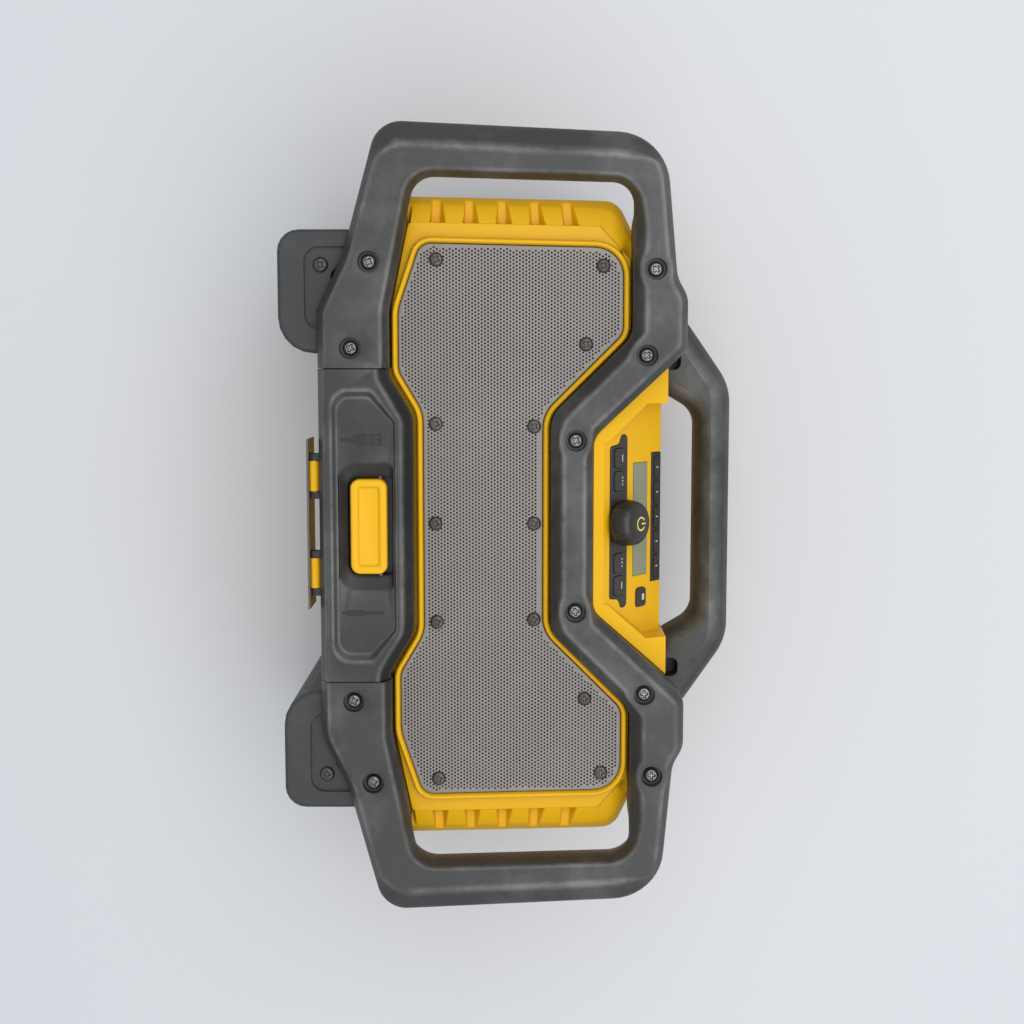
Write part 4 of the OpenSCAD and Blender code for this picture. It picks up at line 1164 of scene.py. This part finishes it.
@dataclass
class Door:
    """Compartment door: bevelled slab, a sunk panel, a scooped latch pocket and hinge lugs."""

    front: float = -100.0
    back: float = -71.2
    half: float = 87.5
    low: float = 22.5
    top: float = 75.3
    shoulder: float = 61.6
    bevel: float = 6.5
    low_share: float = 0.7
    sunk: float = 1.6
    scoop_depth: float = 6.0
    pocket_depth: float = 13.0
    rim: tuple[Corner, ...] = (Corner(76, 30.5, 10), Corner(76, 53, 5), Corner(59, 66.2, 5))
    panel: tuple[Corner, ...] = (Corner(72, 33.3, 8), Corner(72, 51.5, 4), Corner(57.5, 64.7, 4))
    scoop: tuple[float, float, float] = (36.5, 34.0, 64.5)
    pocket: tuple[float, float, float] = (27.5, 38.9, 64.2)
    lugs: tuple[float, float] = (14.7, 36.3)
    lug_width: float = 4.0
    lug_root: float = 0.5
    sign_x: float = 48.5
    sign_lift: float = 0.06

    def upper(self) -> Array:
        """Upper edge from the right end to the left end.

        Returns:
            Points (n, 2).
        """
        bend = (Corner(84, self.shoulder, 8), Corner(61, self.top, 17))
        return densify(rounded(mirrored([Corner(self.half, self.shoulder), *bend])), 5.0)

    def pocket_ring(self, share: float) -> Array:
        """Outline between the pocket (share 0) and the scoop round it (share 1).

        Args:
            share: Where between the two.

        Returns:
            Points (n, 2), anticlockwise.
        """
        made = []
        for (w, low, high), r_low, r_high in ((self.pocket, 6.0, 3.0), (self.scoop, 9.0, 4.0)):
            floor = [Corner(-w, low, r_low), Corner(w, low, r_low)]
            top = [Corner(w, high, r_high), Corner(-w, high, r_high)]
            made.append(rounded([*floor, *top], True))
        return made[0] * (1 - share) + made[1] * share

    def build(self) -> None:
        """Makes the slab's edge, its front with the sunk places, and its back.

        The edge is swept along the upper side with the cage's section, a straight lower side
        closes it. The sunk panel's wall and the scoop are blends of two outlines each, with
        rounded lips, and the pocket below the scoop is a straight wall with a flat floor.
        """
        upper = self.upper()
        lower = np.array([(-self.half, self.low), (self.half, self.low)])
        s = Surface()
        rows = []
        behind = ((0.0, 0.0, 14.0, 0.0), (0.0, 3.0, self.back - self.front, 0.0))
        section = np.array([*FrontFrame().edge()[:10], *behind])
        for f, b, d, _ in section:
            draw = f * self.bevel + b
            loop = np.concatenate([offset(upper, draw), offset(lower, self.low_share * draw)])
            rows.append(lift(loop, self.front + d))
        s.loft(rows, False, section[:, 3])
        outer, floor = (rounded(mirrored(half), True) for half in (self.rim, self.panel))
        share = (-0.5, -0.1, 0.1, 0.3, 0.8, 1.0, 1.1, 1.4)
        depth = (0.0, 0.02, 0.2, 0.5, 1.3, 1.52, self.sunk, self.sunk)
        rings = [lift(outer * (1 - t) + floor * t, self.front + d) for t, d in zip(share, depth)]
        s.loft(rings, False, (0.0, 0.8, 1.0, 0.0, 0.0, 0.9, 0.6, 0.0))
        s.fill([rows[0][:, [0, 2]], rings[0][:, [0, 2]]], self.front)
        s.fill([rings[-1][:, [0, 2]], self.pocket_ring(1.0)], self.front + self.sunk)
        share = (1.0, 0.93, 0.8, 0.2, 0.06, 0.0)
        depth = (0.0, 0.06, 0.25, 0.8, 0.95, 1.1)
        level, deep = self.front + self.sunk, self.scoop_depth - self.sunk
        down = [lift(self.pocket_ring(t), level + d * deep) for t, d in zip(share, depth)]
        bottom = self.front + self.pocket_depth
        down.append(lift(self.pocket_ring(0.0), bottom))
        s.loft(down, False, (0.3, 0.2, 0.0, 0.0, 0.2, 0.0, 0.0))
        s.fill([self.pocket_ring(0.0)], bottom)
        s.fill([rows[-1][:, [0, 2]]], self.back)
        self.add_lugs(s)
        s.build("door_slab", DOOR_BLACK, Body.DOOR.value, ["door"])
        self.build_signs()

    def build_signs(self) -> None:
        """Makes a plug sign on each side of the latch: flat shapes a hair above the sunk panel."""
        s = Surface()
        plug = [(-0.8, 35.5), (0.8, 35.5), (0.8, 38.5), (1.6, 39.0), (1.6, 42.0), (3.6, 45.0)]
        plug.append((3.6, 50.5))
        plug += [(-x, z) for x, z in reversed(plug)]
        jack = [(-0.7, 35.5), (0.7, 35.5), (0.7, 38.0), (1.7, 38.6), (1.7, 48.0), (1.0, 48.6)]
        jack += [(1.0, 58.0), (0.0, 59.5)]
        jack += [(-x, z) for x, z in reversed(jack[:-1])]
        head = pad(-3.2, 3.2, 51.6, 58.6, 0.5, 3)
        holes = [pad(x - 0.8, x + 0.8, 54.6, 56.4, 0.2, 2) for x in (-1.5, 1.5)]
        y = self.front + self.sunk - self.sign_lift
        for loops, x in (([plug], -self.sign_x), ([head, *holes], -self.sign_x), ([jack], self.sign_x)):
            s.fill([np.array(loop) + (x, 0) for loop in loops], y)
        s.build("socket_signs", DARK, Body.DOOR.value)

    def add_lugs(self, s: Surface) -> None:
        """Adds the hinge lugs under the door.

        Args:
            s: The door's surface.
        """
        (y, z), r, root = HINGE, KNUCKLE_RADIUS, self.low + self.lug_root
        a = np.linspace(-np.pi, 0, 17)
        profile = np.stack([np.zeros(17), y + r * np.cos(a), z + r * np.sin(a)], 1)
        ring = np.concatenate([profile, [(0.0, y + r, root), (0.0, y - r, root)]])
        for half in zip(*(spans(x, x + self.lug_width) for x in self.lugs)):
            for x0, x1 in half:
                s.loft([ring + (x0, 0, 0), ring + (x1, 0, 0)])


@dataclass
class Latch:
    """Pull latch: a rounded block with a raised border."""

    half: float = 26.5
    low: float = 40.7
    high: float = 61.0
    radius: float = 5.0
    border: float = 4.5
    front: float = -99.0
    back: float = -91.0

    def build(self) -> None:
        """Makes the block from rings: rounded outer edge, border, sunk field.

        Each ring is the block's outline drawn in by a distance, at a depth.
        """
        loop = pad(-self.half, self.half, self.low, self.high, self.radius, 10)
        b = self.border
        edge = ((0.0, self.back - self.front), (0.0, 1.4), (0.25, 0.6), (0.8, 0.12), (1.6, 0.0))
        lip = ((b - 1.2, 0.0), (b - 0.6, 0.2), (b - 0.2, 0.7))
        rings = [lift(offset(loop, d, True), self.front + y) for d, y in (*edge, *lip)]
        inner = pad(-self.half + b, self.half - b, self.low + b, self.high - b, 2.4, 10)
        field_edge = ((0.0, 1.4), (0.3, 1.9), (1.0, 2.1))
        rings += [lift(offset(inner, d, True), self.front + y) for d, y in field_edge]
        s = Surface()
        s.loft(rings)
        s.build("latch_lever", YELLOW, Body.LATCH.value, ["latch"], crisp=45.0)


# Screws


@dataclass
class ScrewHeads:
    """Pan-head screws with a cross recess, set along Y in one piece."""

    name: str
    places: Sequence[Place]
    top: float
    radius: float
    height: float
    facing: int = -1
    finish: Finish = SCREW
    replaces: Sequence[str] = ()
    flat: float = 0.45
    slot_width: float = 0.16
    slot_length: float = 0.62
    slot_depth: float = 0.42
    skirt: float = 0.4

    def build(self) -> None:
        """Makes one head as a polar height field and repeats it at each place.

        The height is level to the flat's share of the radius, then falls along a quarter ellipse.
        Two crossed slots with sloped walls are taken out of it. Each head is turned on from the
        last by the golden angle.
        """
        rings, spokes = 22, 72
        r = self.radius * np.linspace(0, 1, rings)[:, None]
        a = np.linspace(0, 2 * np.pi, spokes, endpoint=False)[None]
        u, v = np.abs(r * np.cos(a)), np.abs(r * np.sin(a))
        outward = np.clip((r / self.radius - self.flat) / (1 - self.flat), 0, 1)
        fall = self.height * (1 - np.sqrt(np.clip(1 - outward**2, 0, 1)))
        wide, long = self.slot_width * self.radius, self.slot_length * self.radius
        arms = [
            (1 - smooth(across, wide * 0.6, wide * 1.3)) * (1 - smooth(along, long * 0.55, long))
            for across, along in ((u, v), (v, u))
        ]
        depth = fall + self.slot_depth * self.height * np.maximum(*arms)
        s = Surface()
        for i, (x, z) in enumerate(self.places):
            turn = a + GOLDEN_ANGLE * i
            y = self.top - self.facing * depth
            grid = np.stack([x + r * np.cos(turn), y, z + r * np.sin(turn)], -1)
            rim = grid[-1:].copy()
            rim[..., 1] = self.top - self.facing * (self.height + self.skirt)
            s.grid(np.concatenate([grid, rim]), wrap=True)
        s.build(self.name, self.finish, Body.HOUSING.value, self.replaces, crisp=50.0)


# Control panel


@dataclass
class Panel:
    """Sloped control panel: its frame of reference, lip, knob, and the marks on knob and keys."""

    origin: tuple[float, float] = (-83.0, 184.6)
    tilt: float = 39.0
    knob_t: float = 11.0
    knob_radius: float = 13.25
    knob_low: float = 3.0
    knob_height: float = 12.2
    lean: float = 64.0
    flutes: int = 18
    flute_depth: float = 0.28
    flute_low: tuple[float, float] = (0.2, 2.0)
    flute_high: tuple[float, float] = (7.5, 10.5)
    arc: tuple[float, float] = (120.0, 420.0)
    arc_radii: tuple[float, float] = (3.1, 4.1)
    lip_front: float = -89.0
    top: float = 219.65
    key_top: float = 1.13
    preset_pitch: float = 14.6

    def place(self) -> Matrix:
        """Turn and shift from the panel's own frame, z out of it, to the part's frame.

        Returns:
            The matrix, in millimetres.
        """
        return Matrix.Translation((0, *self.origin)) @ Matrix.Rotation(math.radians(self.tilt), 4, "X")

    def build(self) -> None:
        """Makes the lip, the knob with its mark, and the marks on the keys."""
        self.build_lip()
        self.build_knob()
        self.build_marks()

    def build_lip(self) -> None:
        """Sweeps a rounded band along the dip's edge, on the plane that leans back over the panel.

        A point drawn in by d from the edge lies on the leaning plane at its height, raised
        by the band's section at d. The band stops at the panel's top.
        """
        lean = math.tan(math.radians(self.lean))
        edge = densify(rounded(PANEL_DIP, steps=14), 3.0)
        foot = PANEL_DIP[1].z
        draws = (0.35, 0.45, 0.8, 1.5, 2.8, 5.0, 6.6, 7.6, 8.1, 8.3, 8.35)
        heights = (-2.0, -0.9, -0.2, 0.25, 0.5, 0.6, 0.45, 0.1, -0.5, -1.6, -3.0)
        rows = []
        for d, h in zip(draws, heights):
            path = offset(edge, d)
            path[:, 1] = np.minimum(path[:, 1], self.top)
            rows.append(lift(path, self.lip_front + (path[:, 1] - foot) / lean - h))
        s = Surface()
        s.grid(np.stack(rows))
        # The lip's paler yellow is a painted highlight.
        s.build("panel_lip", LIP_HIGHLIGHT_YELLOW, Body.HOUSING.value, crisp=60.0)

    def build_knob(self) -> None:
        """Revolves the knob's section about its axis, with shallow flutes round its side.

        The radius at angle a is the section's, less a flute depth times the positive part of the
        cosine of the number of flutes times a, on the side wall.
        """
        r, h = self.knob_radius, self.knob_height
        inward = (1.2, 0.3, 0.0, 0.2, 0.5, 1.0, 2.0, 3.6, 5.4, 7.2, 9.2, r)
        height = (0.0, 0.3, 1.3, 4.0, 6.6, 8.6, 10.3, 11.5, 12.05, h, h - 0.1, h - 0.2)
        section = np.stack([r - np.array(inward), height], 1)
        a = np.linspace(0, 2 * np.pi, 144, endpoint=False)
        up = section[:, 1]
        side = (1 - smooth(up, *self.flute_high)) * smooth(up, *self.flute_low)
        flute = self.flute_depth * side[:, None] * np.clip(np.cos(self.flutes * a), 0, 1)[None]
        radius = np.maximum(section[:, :1] - flute, 0.0)
        z = np.broadcast_to(section[:, 1:] + self.knob_low, radius.shape)
        rows = np.stack([radius * np.cos(a), self.knob_t + radius * np.sin(a), z], -1)
        s = Surface()
        s.grid(rows, wrap=True)
        cap = s.turned(self.place())
        cap.build("volume_cap", KNOB_RUBBER, Body.KNOB.value, ["volume_knob"], crisp=50.0)
        top = self.knob_low + h + 0.05
        mark = Surface()
        b = np.radians(np.linspace(*self.arc, 41))
        arcs = [(q * np.cos(b), self.knob_t + 0.4 + q * np.sin(b)) for q in self.arc_radii]
        mark.grid(np.stack([np.stack([*arc, np.full(41, top)], 1) for arc in arcs]))
        self.add_bar(mark, (-0.45, self.knob_t + 0.8, 0.9, 4.2), top)
        mark.turned(self.place()).build("power_mark", MARK_WARM, Body.KNOB.value)

    def add_bar(self, s: Surface, bar: tuple[float, float, float, float], level: float) -> None:
        """Adds a flat bar in the panel's own frame.

        Args:
            s: Surface to add to.
            bar: Left end, lower end, width and height.
            level: How far out of the panel it lies.
        """
        x, t, w, h = bar
        flat = np.array([[(x, t), (x + w, t)], [(x, t + h), (x + w, t + h)]])
        s.grid(np.concatenate([flat, np.full((2, 2, 1), level)], 2))

    def build_marks(self) -> None:
        """Makes plain marks on the keys: flat bars and dots a hair above each key's top."""
        strokes: dict[str, list[tuple[float, float, float, float]]] = {
            "mute_key": [(-38.6, 12.5, 4.0, 0.7)],
            "mode_key": [(34.6, 12.5, 4.0, 0.7)],
            "seek_back_key": [(x, 12.5, 0.9, 0.9) for x in (-26.0, -24.0, -22.0)],
            "seek_forward_key": [(x, 12.5, 0.9, 0.9) for x in (21.0, 23.0, 25.0)],
            "pair_key": [(44.2, 33.4, 3.6, 2.2)],
        }
        for i in range(5):
            strokes[f"preset_{i + 1}_key"] = [((i - 2) * self.preset_pitch - 0.3, 47.2, 0.6, 2.0)]
        for key, bars in strokes.items():
            s = Surface()
            for bar in bars:
                self.add_bar(s, bar, self.key_top)
            s.turned(self.place()).build(f"{key}_mark", MARK, key)


# Stage


@dataclass
class Studio:
    """Camera, lamps and the pale sheet behind the speaker."""

    eye: tuple[float, float, float] = (-0.1046, -0.970, 0.1324)
    yaw: float = 6.3
    pitch: float = -0.12
    focal: float = 1577.7
    pixels: float = 1024.0
    sensor: float = 36.0
    aim: tuple[float, float, float] = (0.0, 0.0, 0.12)
    lamp_size: float = 1.3
    left: tuple[float, float, float] = (-0.6, -1.5, 0.4)
    left_power: float = 11.0
    right: tuple[float, float, float] = (0.55, -1.5, 0.55)
    right_power: float = 10.2
    sheet_y: float = 0.1015
    sheet_half: float = 4.0
    sheet_color: tuple[float, float, float, float] = (0.62, 0.63, 0.65, 1.0)
    surround: tuple[float, float, float, float] = (0.92, 0.95, 1.0, 1.0)
    surround_strength: float = 0.7

    def camera(self) -> None:
        """Sets the camera on the photograph's side, turned so that the speaker's up is to the right.

        The yaw turns it about the speaker's up axis, the pitch about its across axis.
        """
        data = bpy.data.cameras.new("camera")
        data.sensor_width = self.sensor
        data.lens = self.sensor * self.focal / self.pixels
        camera = bpy.data.objects.new("camera", data)
        a, b = math.radians(self.yaw), math.radians(self.pitch)
        look = Vector((math.sin(a) * math.cos(b), math.cos(a) * math.cos(b), math.sin(b)))
        right = Vector((0, 0, 1)) - look * look.z
        right.normalize()
        up = right.cross(look)
        turn = Matrix((right, up, -look)).transposed().to_4x4()
        camera.matrix_world = Matrix.Translation(self.eye) @ turn
        bpy.context.scene.collection.objects.link(camera)
        bpy.context.scene.camera = camera

    def lamp(self, name: str, place: Sequence[float], power: float) -> None:
        """Adds a soft square lamp aimed at the speaker.

        Args:
            name: Its name.
            place: Where it stands, in metres.
            power: Its power, in watts.
        """
        data = bpy.data.lights.new(name, "AREA")
        data.size = self.lamp_size
        data.energy = power
        lamp = bpy.data.objects.new(name, data)
        aim = (Vector(self.aim) - Vector(place)).to_track_quat("-Z", "Y")
        lamp.matrix_world = Matrix.Translation(place) @ aim.to_matrix().to_4x4()
        bpy.context.scene.collection.objects.link(lamp)

    def sheet(self) -> None:
        """Lays the pale sheet against the speaker's back.

        It shows from the front only, and lets the surround's light through to the speaker's back.
        """
        finish = bpy.data.materials.new("pale_sheet")
        finish.use_nodes = True
        g = Graph(finish.node_tree)
        shader = finish.node_tree.nodes["Principled BSDF"]
        shader.inputs["Base Color"].default_value = self.sheet_color
        shader.inputs["Roughness"].default_value = 0.9
        clear = g.node("BsdfTransparent")
        behind = g.node("NewGeometry").outputs["Backfacing"]
        path = g.node("LightPath").outputs
        seen = path["Is Camera Ray"]
        for ray in ("Is Glossy Ray", "Is Transmission Ray"):
            seen = g.math("MAXIMUM", seen, path[ray])
        opaque = g.math("MULTIPLY", seen, g.math("SUBTRACT", 1.0, behind))
        mixed = g.node("MixShader", {0: opaque, 1: clear.outputs[0], 2: shader.outputs[0]})
        out = finish.node_tree.nodes["Material Output"]
        finish.node_tree.links.new(mixed.outputs[0], out.inputs["Surface"])
        mesh = bpy.data.meshes.new("sheet")
        w, y = self.sheet_half, self.sheet_y
        corners = [(-w, y, -w), (w, y, -w), (w, y, w), (-w, y, w)]
        mesh.from_pydata(corners, [], [(0, 1, 2, 3)])
        mesh.materials.append(finish)
        sheet = bpy.data.objects.new("sheet", mesh)
        bpy.context.scene.collection.objects.link(sheet)

    def world(self) -> None:
        """Gives an even pale surround."""
        world = bpy.data.worlds.new("surround")
        world.use_nodes = True
        back = world.node_tree.nodes["Background"]
        back.inputs["Color"].default_value = self.surround
        back.inputs["Strength"].default_value = self.surround_strength
        bpy.context.scene.world = world

    def build(self) -> None:
        """Sets the whole stage."""
        self.camera()
        self.lamp("left", self.left, self.left_power)
        self.lamp("right", self.right, self.right_power)
        self.sheet()
        self.world()
        bpy.context.scene.view_settings.view_transform = "Standard"


def dress_cad_nodes() -> None:
    """Gives every CAD node the finish of its material slot."""
    slots = {entry["node"]: entry["material_slot"] for entry in frame["record"]["subparts"]}
    for name, node in frame["nodes"].items():
        node.data.materials.clear()
        finish = OWN_FINISHES.get(name, CAD_FINISHES[slots[name]])
        node.data.materials.append(finish.material())


def main() -> None:
    """Builds the pieces, dresses the CAD nodes and sets the stage."""
    logging.basicConfig(level=logging.INFO, format="%(message)s")
    dress_cad_nodes()
    cage = FrontFrame()
    cage.build()
    Handle().build()
    housing = FrontHousing()
    housing.build()
    grille = Grille()
    grille.build(housing.rim(), housing.rim_width)
    Door().build()
    Latch().build()
    Panel().build()
    low, high = (Vector(corner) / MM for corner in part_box("foot_screws"))
    feet = both([(high.x - HEAD_RADIUS, (low.z + high.z) / 2)])
    for end, top, facing, nodes in (("front", low.y, -1, ["foot_screws"]), ("rear", high.y, 1, [])):
        name = f"foot_screw_heads_{end}"
        ScrewHeads(name, feet, top, HEAD_RADIUS, 2.0, facing, DARK_SCREW, nodes).build()
    ScrewHeads(
        "cage_screw_heads", cage.places(), cage.front + 2.0, HEAD_RADIUS, 2.6,
        replaces=["frame_screws"],
    ).build()
    ScrewHeads(
        "grille_screw_heads", grille.places(), grille.front - 1.8, 4.0, 1.6,
        finish=DARK_SCREW, replaces=["grille_screws"],
    ).build()
    Studio().build()


if __name__ == "__main__":
    main()
